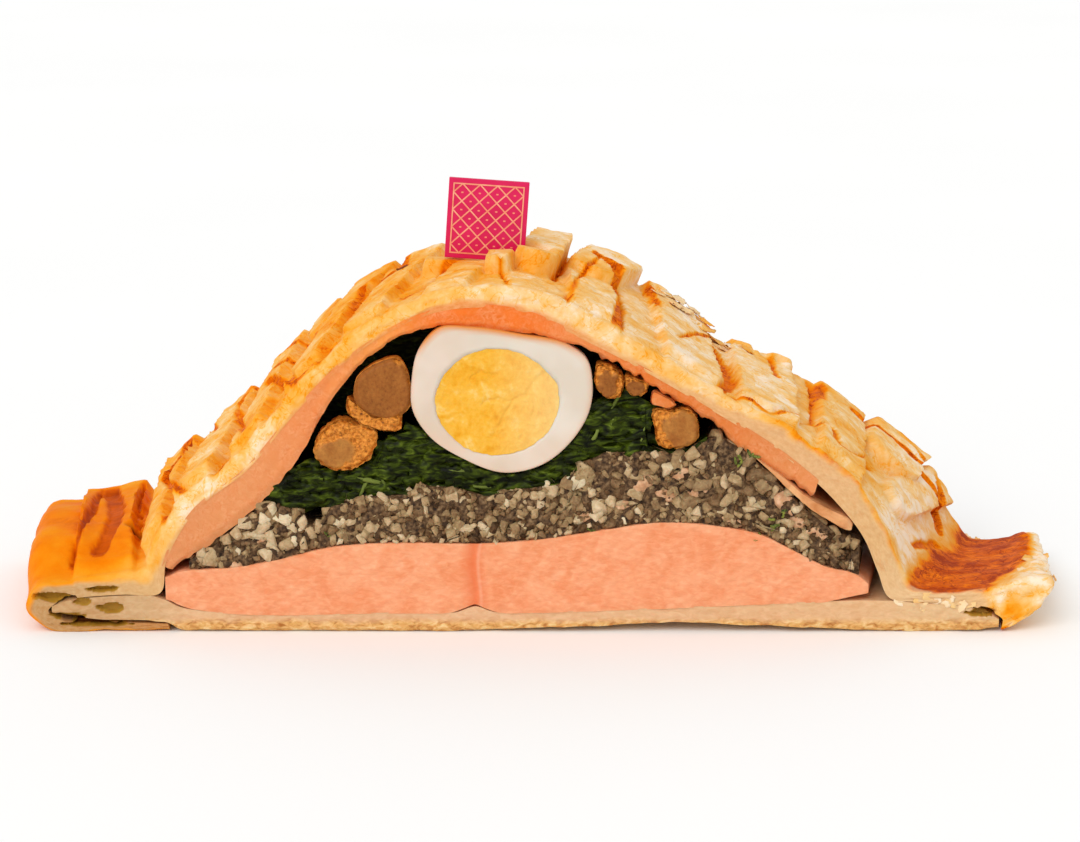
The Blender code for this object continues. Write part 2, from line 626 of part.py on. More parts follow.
def main():
    for item in list(bpy.data.objects):
        bpy.data.objects.remove(item, do_unlink=True)
    pastry = make_material("baked_pastry", (0.86, 0.49, 0.16), 0.45)
    dough = make_material("pale_pastry", (0.82, 0.66, 0.42), 0.7)
    salmon = make_material("cooked_salmon", (0.93, 0.40, 0.25), 0.5)
    slices = make_material("sliced_salmon", (0.93, 0.33, 0.15), 0.4)
    mince = make_material("mushroom_mince", (0.27, 0.22, 0.15), 0.7)
    greens = make_material("cooked_spinach", (0.02, 0.06, 0.01), 0.4)
    white = make_material("egg_white", (0.84, 0.78, 0.70), 0.35)
    yolk = make_material("egg_yolk", (0.95, 0.53, 0.07), 0.6)
    brown = make_material("cooked_mushroom", (0.35, 0.16, 0.05), 0.5)
    card = make_material("pink_plaque", (0.66, 0.01, 0.10), 0.3)

    section = make_lid(pastry)
    make_lining(section, slices)
    make_base(dough)
    make_filling(salmon, mince, greens)
    for place_name, side in (("front", -1.0), ("back", 1.0)):
        make_half_egg(place_name, side, white, yolk)
        for name, outline in (
            ("mushroom_cup_", MUSHROOM_CUP), ("mushroom_ragged_", MUSHROOM_RAGGED),
            ("mushroom_stem_", MUSHROOM_STEM), ("mushroom_small_", MUSHROOM_SMALL),
            ("mushroom_middle_", MUSHROOM_MIDDLE), ("mushroom_square_", MUSHROOM_SQUARE),
        ):
            make_chunk(name + place_name, outline, 10, PIECE_DEPTH, side, brown)
        make_chunk("salmon_flake_" + place_name, SALMON_FLAKE, 8, PIECE_DEPTH / 2, side, slices)
        make_chunk("salmon_curl_" + place_name, SALMON_CURL, 14, CURL_DEPTH, side, slices)
    make_plaque(card)


main()
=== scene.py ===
"""A slice of coulibiac: how its pastry, salmon, mushroom mince, spinach and egg look."""
import math
from functools import partial

import bpy
import numpy as np
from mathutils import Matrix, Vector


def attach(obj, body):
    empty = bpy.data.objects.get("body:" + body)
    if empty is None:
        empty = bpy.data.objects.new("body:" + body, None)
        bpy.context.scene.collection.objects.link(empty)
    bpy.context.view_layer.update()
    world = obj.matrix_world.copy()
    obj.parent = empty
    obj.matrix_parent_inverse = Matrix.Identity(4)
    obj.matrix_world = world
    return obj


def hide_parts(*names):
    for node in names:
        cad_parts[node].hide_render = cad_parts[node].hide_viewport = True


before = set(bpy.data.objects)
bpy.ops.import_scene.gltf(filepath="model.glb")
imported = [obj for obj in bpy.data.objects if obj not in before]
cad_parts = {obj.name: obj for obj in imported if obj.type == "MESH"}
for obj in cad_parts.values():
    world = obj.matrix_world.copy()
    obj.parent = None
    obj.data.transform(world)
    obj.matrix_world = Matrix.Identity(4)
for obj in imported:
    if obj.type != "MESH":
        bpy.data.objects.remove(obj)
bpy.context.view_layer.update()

# ------------------------------------------------------------------------------------------------
# The stage: a plain white floor, soft daylight from all round and one wide soft light over the
# front left, and the camera a little above the slice, facing its cut.
MM = 0.001
FLOOR_SIZE = 12.0
CAMERA_TARGET = (0.0, -0.035, 0.0598)
CAMERA_DISTANCE = 0.70
CAMERA_ELEVATION = math.radians(13.5)
CAMERA_LENS = 86.4


def linear(hex_colour):
    """An sRGB colour such as "#F0E0C0" as the linear one that a shader takes."""
    parts = [int(hex_colour[i:i + 2], 16) / 255 for i in (1, 3, 5)]
    parts = [c / 12.92 if c <= 0.04045 else ((c + 0.055) / 1.055) ** 2.4 for c in parts]
    return (*parts, 1.0)


MAIN_OUTPUT = {"TexCoord": "Object", "Attribute": "Fac", "Mix": 2}    # the rest: their first


def add_node(tree, kind, *inputs, stops=(), **named):
    """Adds a shader node with its settings and links, and gives its main output.

    inputs are values, "#" colours or other nodes' outputs, for its sockets in their order. A name
    with a capital is a socket's, too, and one without is a setting's.
    """
    added = tree.nodes.new("ShaderNode" + kind)
    if kind == "Mix":
        added.data_type = "RGBA"
    for name, value in named.items():
        if name[0].islower():
            setattr(added, name, value)
    filled = list(zip([socket for socket in added.inputs if socket.enabled], inputs))
    filled += [(added.inputs[name], value) for name, value in named.items() if name[0].isupper()]
    for socket, value in filled:
        if isinstance(value, bpy.types.NodeSocket):
            tree.links.new(value, socket)
        else:
            socket.default_value = linear(value) if isinstance(value, str) else value
    for i, (place_on_ramp, colour) in enumerate(stops):
        elements = added.color_ramp.elements
        stop = elements[i] if i < 2 else elements.new(place_on_ramp)
        stop.position = place_on_ramp
        stop.color = linear(colour)
    return added.outputs[MAIN_OUTPUT.get(kind, 0)]


def new_material(name, **constants):
    """A material whose shader has these constant values, what adds its nodes, and its places."""
    material = bpy.data.materials.new(name)
    material.use_nodes = True
    shader = material.node_tree.nodes["Principled BSDF"]
    for socket, value in constants.items():
        shader.inputs[socket.replace("_", " ").title().replace("Ior", "IOR")].default_value = value
    add = partial(add_node, material.node_tree)
    return material, add, add("TexCoord")


def dress(material, colour, height=None, strength=0.0, distance=0.0):
    """Gives a material its colour, and relief up to distance millimetres deep."""
    tree = material.node_tree
    shader = tree.nodes["Principled BSDF"]
    tree.links.new(colour, shader.inputs["Base Color"])
    if height is not None:
        relief = add_node(tree, "Bump", Height=height, Strength=strength, Distance=distance * MM)
        tree.links.new(relief, shader.inputs["Normal"])


# Matt white paper sweep, even and clean.
paper, add, at = new_material("white_paper_sweep", roughness=0.9, specular_ior_level=0.2)
grain = add("TexNoise", at, Scale=3.0)
tint = add("ValToRGB", grain, stops=[(0.3, "#F9F9F8"), (0.7, "#FBFBFA")])
dress(paper, tint)

bpy.ops.object.select_all(action="DESELECT")
bpy.ops.mesh.primitive_plane_add(size=FLOOR_SIZE, location=(0.0, 0.0, -0.0001))
floor = bpy.context.object
floor.name = "floor"
floor.data.materials.append(paper)

world = bpy.data.worlds.new("daylight")
bpy.context.scene.world = world
world.use_nodes = True
world.node_tree.nodes["Background"].inputs["Color"].default_value = linear("#FFFFFF")
world.node_tree.nodes["Background"].inputs["Strength"].default_value = 0.80
bpy.ops.object.light_add(type="SUN", location=(-0.5, -0.9, 0.9))
softbox = bpy.context.object
softbox.name = "wide_softbox"
softbox.data.angle = math.radians(40.0)
softbox.data.energy = 1.25
aim = Vector(CAMERA_TARGET) - softbox.location
softbox.rotation_euler = aim.to_track_quat("-Z", "Y").to_euler()

back = CAMERA_DISTANCE * math.cos(CAMERA_ELEVATION)
height = CAMERA_DISTANCE * math.sin(CAMERA_ELEVATION)
bpy.ops.object.camera_add(
    location=(CAMERA_TARGET[0], CAMERA_TARGET[1] - back, CAMERA_TARGET[2] + height),
    rotation=(math.pi / 2 - CAMERA_ELEVATION, 0.0, 0.0))
camera = bpy.context.object
camera.data.lens = CAMERA_LENS
bpy.context.scene.camera = camera
bpy.context.scene.view_settings.view_transform = "Standard"

# ------------------------------------------------------------------------------------------------
# The pastry base: a sheet of puff pastry baked under the filling. Its upper part stays pale and
# moist, and its underside is baked to a thin golden crust that wrinkles off the surface.
DEPTH = 70.0
HALF_DEPTH = DEPTH / 2
SIDES = {"front": -1.0, "back": 1.0}
TOE, TOE_SPREAD = 141.3, 8.5        # how far out the rims end, and how much more at the back
LEFT_FOOT, RIGHT_FOOT = 108.5, 102.0    # where the dome meets the rims
SPREAD_LEFT, SPREAD_RIGHT, SPREAD_POWER = 5.0, 14.0, 1.3    # how the dome widens to the back
FLARE_RIGHT, FLARE_REACH = 10.0, 17.0   # and its right foot some more
BACK_HUMP, BACK_HUMP_AT, BACK_HUMP_REACH = 6.5, 24.0, 27.0      # the right shoulder's back is higher
LEFT_RIM_RISE, RIGHT_RIM_DROP = 0.32, 0.42      # how the rims change height towards the back
COLUMN = 3.0            # spacing of the solids' points along the slice, in millimetres
FINE = 0.62             # and of the points of a layer here
CUT_ANGLE = math.radians(60.0)      # edges sharper than this, where a knife went, stay crisp
TOUCH = 0.3             # how far layers reach over the thin gaps between their solids
POCKETS = [             # blown pockets in both rims: x, z, half width, half height, depth
    (-133.6, 9.8, 6.3, 1.3, 2.6), (-120.0, 12.2, 4.6, 1.0, 2.2), (-125.8, 8.6, 2.6, 1.2, 1.6),
    (-118.2, 6.7, 3.9, 1.6, 2.2), (-129.6, 4.5, 5.6, 1.1, 2.0), (-122.2, 2.1, 10.4, 0.7, 4.0),
    (121.5, 5.6, 4.4, 1.3, 2.8),
]
CURL_AT, CURL_REACH, CURL_RISE = 40.0, 62.0, 2.2    # where its front edge bakes up off the floor
NOTCH_AT, NOTCH_REACH, NOTCH_RIDGE = -17.8, 6.0, 1.7    # dough that rose in the fillet's notch


def through(count):
    """This many evenly spaced places from the front cut to the back one."""
    return np.linspace(-HALF_DEPTH, HALF_DEPTH, count)


def smoothstep(value):
    value = np.clip(value, 0.0, 1.0)
    return value * value * (3.0 - 2.0 * value)


def place(x, z, y):
    """Points of the front section moved to depth y, where the dome is wider, in metres."""
    x, z, y = np.broadcast_arrays(np.asarray(x, float), z, y)
    share = np.clip((y + HALF_DEPTH) / DEPTH, 0.0, 1.0)
    right = x > 0.0
    foot = np.where(right, RIGHT_FOOT, LEFT_FOOT)
    spread = np.where(right, SPREAD_RIGHT, SPREAD_LEFT)
    flare = np.where(right, FLARE_RIGHT, 0.0)
    rim = np.where(right, 1.0 - RIGHT_RIM_DROP * share * smoothstep((x - RIGHT_FOOT + 3.0) / 10.0),
                   1.0 + LEFT_RIM_RISE * share * smoothstep((-x - LEFT_FOOT + 5.0) / 8.0))
    reach = np.abs(x)
    inside = spread * (np.minimum(reach, foot) / foot) ** SPREAD_POWER
    inside = inside + flare * smoothstep(1.0 - (foot - reach) / FLARE_REACH)
    outside = TOE_SPREAD + (spread + flare - TOE_SPREAD) * (TOE - reach) / (TOE - foot)
    shift = np.where(reach < foot, inside, outside) * np.where(right, 1.0, -1.0)
    hump = smoothstep(1.0 - np.abs(x - BACK_HUMP_AT) / BACK_HUMP_REACH) * smoothstep(z / 80.0 - 0.4)
    lifted = np.maximum(z * rim + BACK_HUMP * share * hump, 0.0)
    return np.stack([x + shift * share, y, lifted], axis=-1) * MM


def smooth_noise(points, size, seed):
    """Random bumps about size apart, from -1 to 1, at points of any number of axes up to 3."""
    table = np.random.default_rng(seed).uniform(-1.0, 1.0, (32, 32, 32))
    scaled = np.asarray(points, float) / np.asarray(size, float)
    scaled = np.concatenate([scaled, np.zeros(scaled.shape[:-1] + (3 - scaled.shape[-1],))], -1)
    cell = np.floor(scaled).astype(int)
    part = scaled - cell
    part = part * part * (3.0 - 2.0 * part)
    total = 0.0
    for corner in np.ndindex(2, 2, 2):
        weight = np.prod(np.where(np.array(corner) == 1, part, 1.0 - part), axis=-1)
        spot = (cell + np.array(corner)) % 32
        total = total + weight * table[spot[..., 0], spot[..., 1], spot[..., 2]]
    return total


def pairs(first, second):
    """Two coordinates of any matching shapes as points."""
    return np.stack(np.broadcast_arrays(first, second), axis=-1)


def slope_of(line):
    """The direction of a line at each of its points."""
    slope = np.gradient(line, axis=0)
    return slope / np.linalg.norm(slope, axis=1)[:, None]


def run_of(line):
    """How far along a line each of its points is."""
    return np.concatenate([[0.0], np.cumsum(np.linalg.norm(np.diff(line, axis=0), axis=1))])


def smooth_curve(points, count, closed=False):
    """Evenly spaced points on the smooth curve through the given ones."""
    knots = np.array(points, float)
    if closed:
        knots = np.vstack([knots[-2:], knots, knots[:3]])
    gaps = np.linalg.norm(np.diff(knots, axis=0), axis=1)
    slopes = np.gradient(knots, run_of(knots), axis=0)
    first = 2 if closed else 0
    last = len(knots) - 2 if closed else len(knots)
    dense = []
    for i in range(first, last - 1):
        for s in np.linspace(0.0, 1.0, 24, endpoint=False):
            dense.append((2 * s**3 - 3 * s**2 + 1) * knots[i]
                         + (s**3 - 2 * s**2 + s) * gaps[i] * slopes[i]
                         + (3 * s**2 - 2 * s**3) * knots[i + 1]
                         + (s**3 - s**2) * gaps[i] * slopes[i + 1])
    dense.append(knots[last - 1])
    dense = np.array(dense)
    run = run_of(dense)
    wanted = np.linspace(0.0, run[-1], count, endpoint=not closed)
    return np.stack([np.interp(wanted, run, dense[:, c]) for c in range(dense.shape[1])], axis=1)


def section_of(node, reach=2.5):
    """A layer's upper and lower line at the front cut, in millimetres, from the frame."""
    points = np.array([tuple(v.co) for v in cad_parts[node].data.vertices]) / MM
    front = points[points[:, 1] < -HALF_DEPTH + reach]
    column_of = np.round(front[:, 0] / COLUMN)
    upper, lower = [], []
    for number in np.unique(column_of):
        column = front[column_of == number]
        upper.append(column[np.argmax(column[:, 2])][[0, 2]])
        lower.append(column[np.argmin(column[:, 2])][[0, 2]])
    return np.array(upper), np.array(lower)


def finish_piece(piece, material, slot, *nodes):
    """The piece gets its material, moves with the slice and stands for its nodes."""
    piece.data.materials.clear()
    piece.data.materials.append(material)
    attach(piece, "root")
    if nodes:
        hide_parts(*nodes)


def select_only(piece):
    bpy.ops.object.select_all(action="DESELECT")
    bpy.context.view_layer.objects.active = piece
    piece.select_set(True)


def make_mesh(name, points, faces, values=None, smooth=True):
    """An object from points in metres and faces, with a value for each point by name."""
    mesh = bpy.data.meshes.new(name)
    mesh.from_pydata(np.asarray(points).tolist(), [], faces)
    for key, numbers in (values or {}).items():
        layer = mesh.attributes.new(key, "FLOAT", "POINT")
        layer.data.foreach_set("value", np.asarray(numbers, np.float32))
    if smooth:
        mesh.shade_smooth()
    piece = bpy.data.objects.new(name, mesh)
    bpy.context.collection.objects.link(piece)
    select_only(piece)
    bpy.ops.object.mode_set(mode="EDIT")
    bpy.ops.mesh.select_all(action="SELECT")
    bpy.ops.mesh.normals_make_consistent(inside=False)
    bpy.ops.object.mode_set(mode="OBJECT")
    return piece


def grid_faces(rows):
    """The quads between rows of point numbers."""
    quads = np.stack([rows[:-1, :-1], rows[:-1, 1:], rows[1:, 1:], rows[1:, :-1]], axis=-1)
    return quads.reshape(-1, 4).tolist()


def make_layer(name, upper, lower, ys, carve, lift=None, under=None, under_ys=None, values=None,
               rise=None, shares=np.linspace(0.0, 1.0, 13)):
    """A layer through the slice between two lines of its section.

    carve(along, x, z, share) sets its cuts back, lift(along, y) raises its upper side along its
    normal, rise(x, z, y) raises that side straight up and under(x, y) raises its lower side, all
    in millimetres. values(along, y, share, x, z) gives the numbers that its material reads.
    """
    count = len(upper)
    along = run_of((upper + lower) / 2 if lift is None else upper)
    out = slope_of(upper)[:, ::-1] * (-1.0, 1.0)
    under_ys = ys[[0, -1]] if under_ys is None else under_ys
    low_edge, high_edge = (
        np.broadcast_to(carve(along, line[:, 0], line[:, 1], np.full(count, share)), (count,))
        for line, share in ((lower, 0.0), (upper, 1.0)))

    def upper_at(y):
        line = upper if lift is None else upper + out * lift(along, y)[:, None]
        if rise is None:
            return line
        return line + np.stack([np.zeros(count), rise(upper[:, 0], upper[:, 1], y)], axis=1)

    def lower_at(y):
        if under is None:
            return lower
        return lower + np.stack([np.zeros(count), under(lower[:, 0], y)], axis=1)

    points, notes = [], []

    def add_rows(section, y, share):
        first = sum(len(p) for p in points)
        points.append(place(section[..., 0], section[..., 1], y).reshape(-1, 3))
        full = [np.broadcast_to(v, section.shape[:-1]).reshape(-1)
                for v in (along, y, share, section[..., 0], section[..., 1])]
        notes.append(np.stack(full, axis=1))
        return np.arange(first, first + section[..., 0].size).reshape(section.shape[:-1])

    ladders = []
    for side in SIDES.values():
        share = shares[:, None]
        low = lower_at(side * HALF_DEPTH)
        high = upper_at(side * HALF_DEPTH)
        section = low[None] + (high - low)[None] * share[..., None]
        back = carve(along[None], section[..., 0], section[..., 1], share)
        back = np.broadcast_to(back, section.shape[:-1])
        ladders.append(add_rows(section, side * (HALF_DEPTH - back), share))
    front, rear = ladders
    middle = [add_rows(upper_at(y)[None], (y * (1.0 - high_edge / HALF_DEPTH))[None], 1.0)[0]
              for y in ys[1:-1]]
    below = [add_rows(lower_at(y)[None], (y * (1.0 - low_edge / HALF_DEPTH))[None], 0.0)[0]
             for y in under_ys[1:-1]]
    top = np.array([front[-1], *middle, rear[-1]])
    bottom = np.array([rear[0], *below[::-1], front[0]])
    faces = grid_faces(front) + grid_faces(rear[::-1]) + grid_faces(top) + grid_faces(bottom)
    for i, turn in ((0, 1), (count - 1, -1)):
        ring = [*front[:, i], *top[1:-1, i], *rear[::-1, i], *bottom[1:-1, i]]
        faces.append([int(n) for n in ring[::turn]])
    along_all, y_all, share_all, x_all, z_all = np.concatenate(notes).T
    numbers = {"along": along_all, "share": share_all}
    numbers.update(values(along_all, y_all, share_all, x_all, z_all) if values else {})
    layer = make_mesh(name, np.concatenate(points), faces, numbers)
    bpy.ops.object.shade_smooth_by_angle(angle=CUT_ANGLE)
    return layer


def pair_lines(upper, lower, spacing=FINE):
    """Both lines of a layer at the same x, closely spaced."""
    xs = np.arange(upper[0, 0], upper[-1, 0], spacing)
    xs = np.append(xs, upper[-1, 0])
    fine = []
    for line in (upper, lower):
        dense = smooth_curve(line, 600)
        fine.append(np.stack([xs, np.interp(xs, dense[:, 0], dense[:, 1])], axis=1))
    return fine


def pocket_depth(x, z):
    """How deep the blown pockets of the rims are at a place of the cut."""
    depth = np.zeros(np.broadcast(x, z).shape)
    ragged = 0.25 * smooth_noise(pairs(x, z), (1.6, 0.7), 41)
    for pocket_x, pocket_z, half_width, half_height, deep in POCKETS:
        away = np.hypot((x - pocket_x) / half_width, (z - pocket_z) / half_height) + ragged
        depth = np.maximum(depth, deep * smoothstep((1.0 - away) / 0.35))
    return depth


def base_carve(along, x, z, share):
    """How far a knife's drag, the torn right end and the pockets set the base's cut back."""
    spot = pairs(x, z)
    wave = 0.18 * smooth_noise(spot, (9.0, 1.6), 11) + 0.12 * smooth_noise(spot, (2.0, 0.6), 12)
    ragged = smoothstep((x - 98.0) / 6.0) * 0.5 * smooth_noise(spot, (2.2, 1.0), 15)
    foot = 0.5 * smoothstep((1.2 - z) / 1.2)
    return 0.45 + wave + ragged + foot + pocket_depth(x, z)


def base_under(x, y):
    """The underside is wavy, and its front edge is baked up off the floor on the right."""
    rise = CURL_RISE * smoothstep(1.0 - np.abs(x - CURL_AT) / CURL_REACH) \
        * smoothstep(-y / HALF_DEPTH)
    spot = pairs(x, y)
    wave = 0.35 + 0.35 * smooth_noise(spot, 9.0, 13) + 0.2 * smooth_noise(spot, 3.0, 14)
    return rise + wave


base_upper, base_lower = section_of("pastry_base")
base_lower[:, 1] -= CURL_RISE * smoothstep(1.0 - np.abs(base_lower[:, 0] - CURL_AT) / CURL_REACH)
base_upper, base_lower = pair_lines(base_upper, base_lower)
base_upper[:, 1] += TOUCH
base_upper[:, 1] += NOTCH_RIDGE * smoothstep(1.0 - np.abs(base_upper[:, 0] - NOTCH_AT) / NOTCH_REACH)
base = make_layer("baked_base", base_upper, base_lower, through(16), base_carve, under=base_under,
                  under_ys=through(40),
                  values=lambda along, y, share, x, z: {"pocket": pocket_depth(x, z)})

# Puff pastry in section: pale buttery dough, waxy where it is moist, in thin leaves that a knife
# has dragged, golden brown and dry along the baked underside.
dough, add, at = new_material("puff_pastry_cut", roughness=0.6, specular_ior_level=0.2,
                              subsurface_weight=0.12, subsurface_scale=0.004)
pocket = add("Attribute", attribute_name="pocket")
flat = add("Mapping", at, Scale=(0.5, 0.5, 1.0))
leaves = add("TexNoise", flat, Scale=1 / (1.2 * MM), Detail=5.0, Distortion=0.8)
patches = add("TexNoise", at, Scale=1 / (6 * MM), Detail=3.0)
split = add("SeparateXYZ", at).node.outputs
wavy = add("Math", patches, 2.4 * MM, split["Z"], operation="MULTIPLY_ADD")
baked = add("MapRange", wavy, 3.4 * MM, 5.2 * MM)
along_x = add("MapRange", split["X"], -140 * MM, 128 * MM)
moist = add("ValToRGB", along_x, stops=[(0.0, "#B8884F"), (1.0, "#DDB483"), (0.07, "#BE9262"),
                                        (0.12, "#CBA274"), (0.17, "#DFAE82"), (0.45, "#E0AE84"),
                                        (0.85, "#DFAF80"), (0.9, "#E0B686")])
pale = add("ValToRGB", leaves, stops=[(0.3, "#B98450"), (0.75, "#F4DAB0")])
cream = add("Mix", 0.25, moist, pale)
gold = add("ValToRGB", leaves, stops=[(0.3, "#AC6A2E"), (0.75, "#F2D29A"), (0.5, "#DDA862")])
body = add("Mix", baked, gold, cream)
# Blown pockets are painted olive, turning dark brown where deepest, as shade in the hollows.
hollow = add("ValToRGB", pocket, stops=[(0.15, "#000000"), (0.6, "#FFFFFF")])
shade = add("MapRange", pocket, 2.4, 3.6)
pocket_shade = add("Mix", shade, "#B0822C", "#5C2E10")
inside = add("Mix", hollow, body, pocket_shade)
dress(dough, inside, leaves, 0.35, 0.3)
finish_piece(base, dough, "dough", "pastry_base")

# ------------------------------------------------------------------------------------------------
# The salmon fillet: poached flesh of two lobes side by side, cut clean across. It is moist and
# pale pink, with fine slanting fibres, a redder seam between the lobes and whitish fat in it.
SEAM_X, SEAM_Z = -18.0, 15.0        # where the seam between the lobes is, how it leans and bows
SEAM_LEAN = 0.08
SEAM_BOW, SEAM_WAVE = 0.9, 4.5
FILLET_REACH = 0.8      # how far its left end reaches over the thin gap to the lid


def fillet_carve(along, x, z, share):
    """The cut is finely fibrous, grooved along the seam, and recedes at both ends."""
    spot = pairs(x, z)
    fibres = smooth_noise(spot @ np.array([[0.8, -0.6], [0.6, 0.8]]), (5.0, 1.1), 21)
    seam_x = SEAM_X + SEAM_LEAN * (z - SEAM_Z) + SEAM_BOW * np.sin(z / SEAM_WAVE)
    seam = smoothstep(1.0 - np.abs(x - seam_x) / 1.5)
    ends = 3.0 * smoothstep((-x - 94.0) / 8.0) + 1.2 * smoothstep((x - 88.0) / 8.0)
    return 0.3 + 0.16 * fibres + 0.08 * smooth_noise(spot, 1.0, 22) + 0.26 * seam + 0.2 * ends


fillet_upper, fillet_lower = pair_lines(*section_of("salmon_fillet"))
fillet_lower[:, 1] -= TOUCH
fillet_upper[:, 1] += TOUCH * 0.5
for line in (fillet_upper, fillet_lower):
    line[0, 0] -= FILLET_REACH
fillet = make_layer("poached_fillet", fillet_upper, fillet_lower, through(24), fillet_carve,
                    shares=np.linspace(0.0, 1.0, 31))

# Poached salmon: opaque, soft and moist, lit a little from within, with darker orange pink grain
# along its fibres and a whitish line of fat beside the seam.
flesh, add, at = new_material("poached_salmon_flesh", roughness=0.5, specular_ior_level=0.1,
                              subsurface_weight=0.15, subsurface_scale=0.004)
slant = add("Mapping", at, Rotation=(0.0, math.radians(-38.0), 0.0), Scale=(0.42, 0.6, 1.0))
fibres = add("TexNoise", slant, Scale=1 / (1.1 * MM), Detail=5.0, Roughness=0.6, Distortion=0.6)
clouds = add("TexNoise", at, Scale=1 / (11 * MM), Detail=3.0, Distortion=1.6)
grain = add("ValToRGB", fibres, stops=[(0.3, "#DE8254"), (0.7, "#F6B48A"), (0.5, "#EC986B")])
cloudy = add("ValToRGB", clouds, stops=[(0.36, "#E98F60"), (0.62, "#F4AE84")])
pink = add("Mix", 0.5, grain, cloudy)
split = add("SeparateXYZ", at).node.outputs
lean = add("Math", split["Z"], -SEAM_LEAN, (-SEAM_X + SEAM_LEAN * SEAM_Z) * MM,
           operation="MULTIPLY_ADD")
wave = add("Math", split["Z"], 1 / (SEAM_WAVE * MM), operation="MULTIPLY")
swing = add("Math", wave, operation="SINE")
bow = add("Math", swing, -SEAM_BOW * MM, lean, operation="MULTIPLY_ADD")
from_seam = add("Math", split["X"], bow)
away = add("Math", from_seam, operation="ABSOLUTE")
red = add("MapRange", away, 0.2 * MM, 4.0 * MM, 0.8, 0.0)
seamed = add("Mix", red, pink, "#E57545")
beside = add("Math", from_seam, 1.5 * MM, operation="SUBTRACT")
from_fat = add("Math", beside, operation="ABSOLUTE")
fat = add("MapRange", from_fat, 0.1 * MM, 0.7 * MM, 0.22, 0.0)
fatty = add("Mix", fat, seamed, "#F6CDB0")
dress(flesh, fatty, fibres, 0.3, 0.3)
finish_piece(fillet, flesh, "salmon", "salmon_fillet")

# ------------------------------------------------------------------------------------------------
# The mushroom mince: mushrooms chopped by hand and cooked down with onion and flakes of fish. A
# brown paste, painted near black as shade in its gaps, holds soft dice and crumbs, with a few
# flakes and herbs, cut through by the knife.
MINCE_RECESS = 1.3
DICE_SIZES = (3.2, 6.2)
DICE_TRIES = 22000
CRUMB_SIZES = (1.2, 2.4)
CRUMB_TRIES = 7000
FISH_FLAKES = [     # pale pink flakes of fish at the cut: x, z, length, height, lean
    (27.0, 41.5, 8.5, 4.2, 0.5), (37.5, 44.5, 6.5, 3.4, 0.3), (34.0, 38.6, 6.0, 3.0, -0.2),
    (43.0, 39.8, 5.5, 3.0, 0.2), (52.5, 32.0, 6.5, 3.2, -0.5), (22.0, 35.6, 5.0, 2.6, 0.1),
    (12.0, 32.5, 4.0, 2.4, 0.4), (60.0, 42.0, 4.6, 3.0, 1.2), (66.5, 36.5, 8.0, 4.6, -0.9),
    (75.5, 27.4, 6.5, 3.6, 0.15), (70.0, 31.0, 4.5, 3.0, -0.6), (-40.0, 28.5, 4.2, 2.2, 0.3),
    (-88.5, 15.6, 8.0, 3.2, 0.1), (-82.5, 18.2, 5.5, 2.6, -0.3), (-76.0, 27.0, 4.4, 2.4, 0.6),
]
HERBS = [(54.0, 48.6, 3.4), (57.4, 50.2, 2.6), (63.6, 30.4, 3.6), (60.6, 27.2, 2.6),
         (66.8, 33.6, 2.4), (14.0, 29.0, 1.8), (-58.0, 27.6, 1.6)]


def mince_carve(along, x, z, share):
    spot = pairs(x, z)
    return MINCE_RECESS + 0.8 * smooth_noise(spot, 2.6, 31) + 0.4 * smooth_noise(spot, 1.0, 32)


mince_upper, mince_lower = pair_lines(*section_of("mushroom_mince"))
mince_upper[:, 1] += TOUCH * 0.5
mince_lower[:, 1] -= TOUCH
paste = make_layer("mince_paste", mince_upper, mince_lower, through(24), mince_carve,
                   shares=np.linspace(0.0, 1.0, 37))

# Cooked-down mushroom paste: brown and moist, with near-black patches of painted shade where it
# shows in the gaps between the dice.
duxelles, add, at = new_material("cooked_mushroom_paste", roughness=0.6, specular_ior_level=0.2)
crumbs = add("TexNoise", at, Scale=1 / (1.1 * MM), Detail=4.0)
tint = add("ValToRGB", crumbs, stops=[(0.3, "#1E0F05"), (0.75, "#947653"), (0.52, "#5C4229")])
dress(duxelles, tint, crumbs, 0.8, 0.6)
finish_piece(paste, duxelles, "mince", "mushroom_mince")


def lump_shapes(count, corners, draw):
    """Soft irregular lumps, each the hull of a few corners with its edges cut off."""
    shapes = []
    for number in range(count):
        box = np.array(list(np.ndindex(2, 2, 2))) - 0.5
        extra = draw.normal(size=(corners - 8, 3))
        extra *= 0.62 / np.linalg.norm(extra, axis=1)[:, None]
        directions = np.concatenate([box + draw.uniform(-0.24, 0.24, (8, 3)), extra])
        directions *= np.array([1.0, draw.uniform(0.5, 0.85), draw.uniform(0.4, 0.75)])
        mesh = bpy.data.meshes.new("shape")
        mesh.from_pydata(directions.tolist(), [], [])
        shape = bpy.data.objects.new("shape", mesh)
        bpy.context.collection.objects.link(shape)
        select_only(shape)
        bpy.ops.object.mode_set(mode="EDIT")
        bpy.ops.mesh.select_all(action="SELECT")
        bpy.ops.mesh.convex_hull()
        bpy.ops.mesh.select_all(action="SELECT")
        bpy.ops.mesh.bevel(offset=0.07, segments=1, affect="EDGES")
        bpy.ops.mesh.remove_doubles(threshold=0.04)
        bpy.ops.object.mode_set(mode="OBJECT")
        shapes.append((np.array([tuple(v.co) for v in shape.data.vertices]),
                       [tuple(p.vertices) for p in shape.data.polygons]))
        bpy.data.objects.remove(shape)
    return shapes


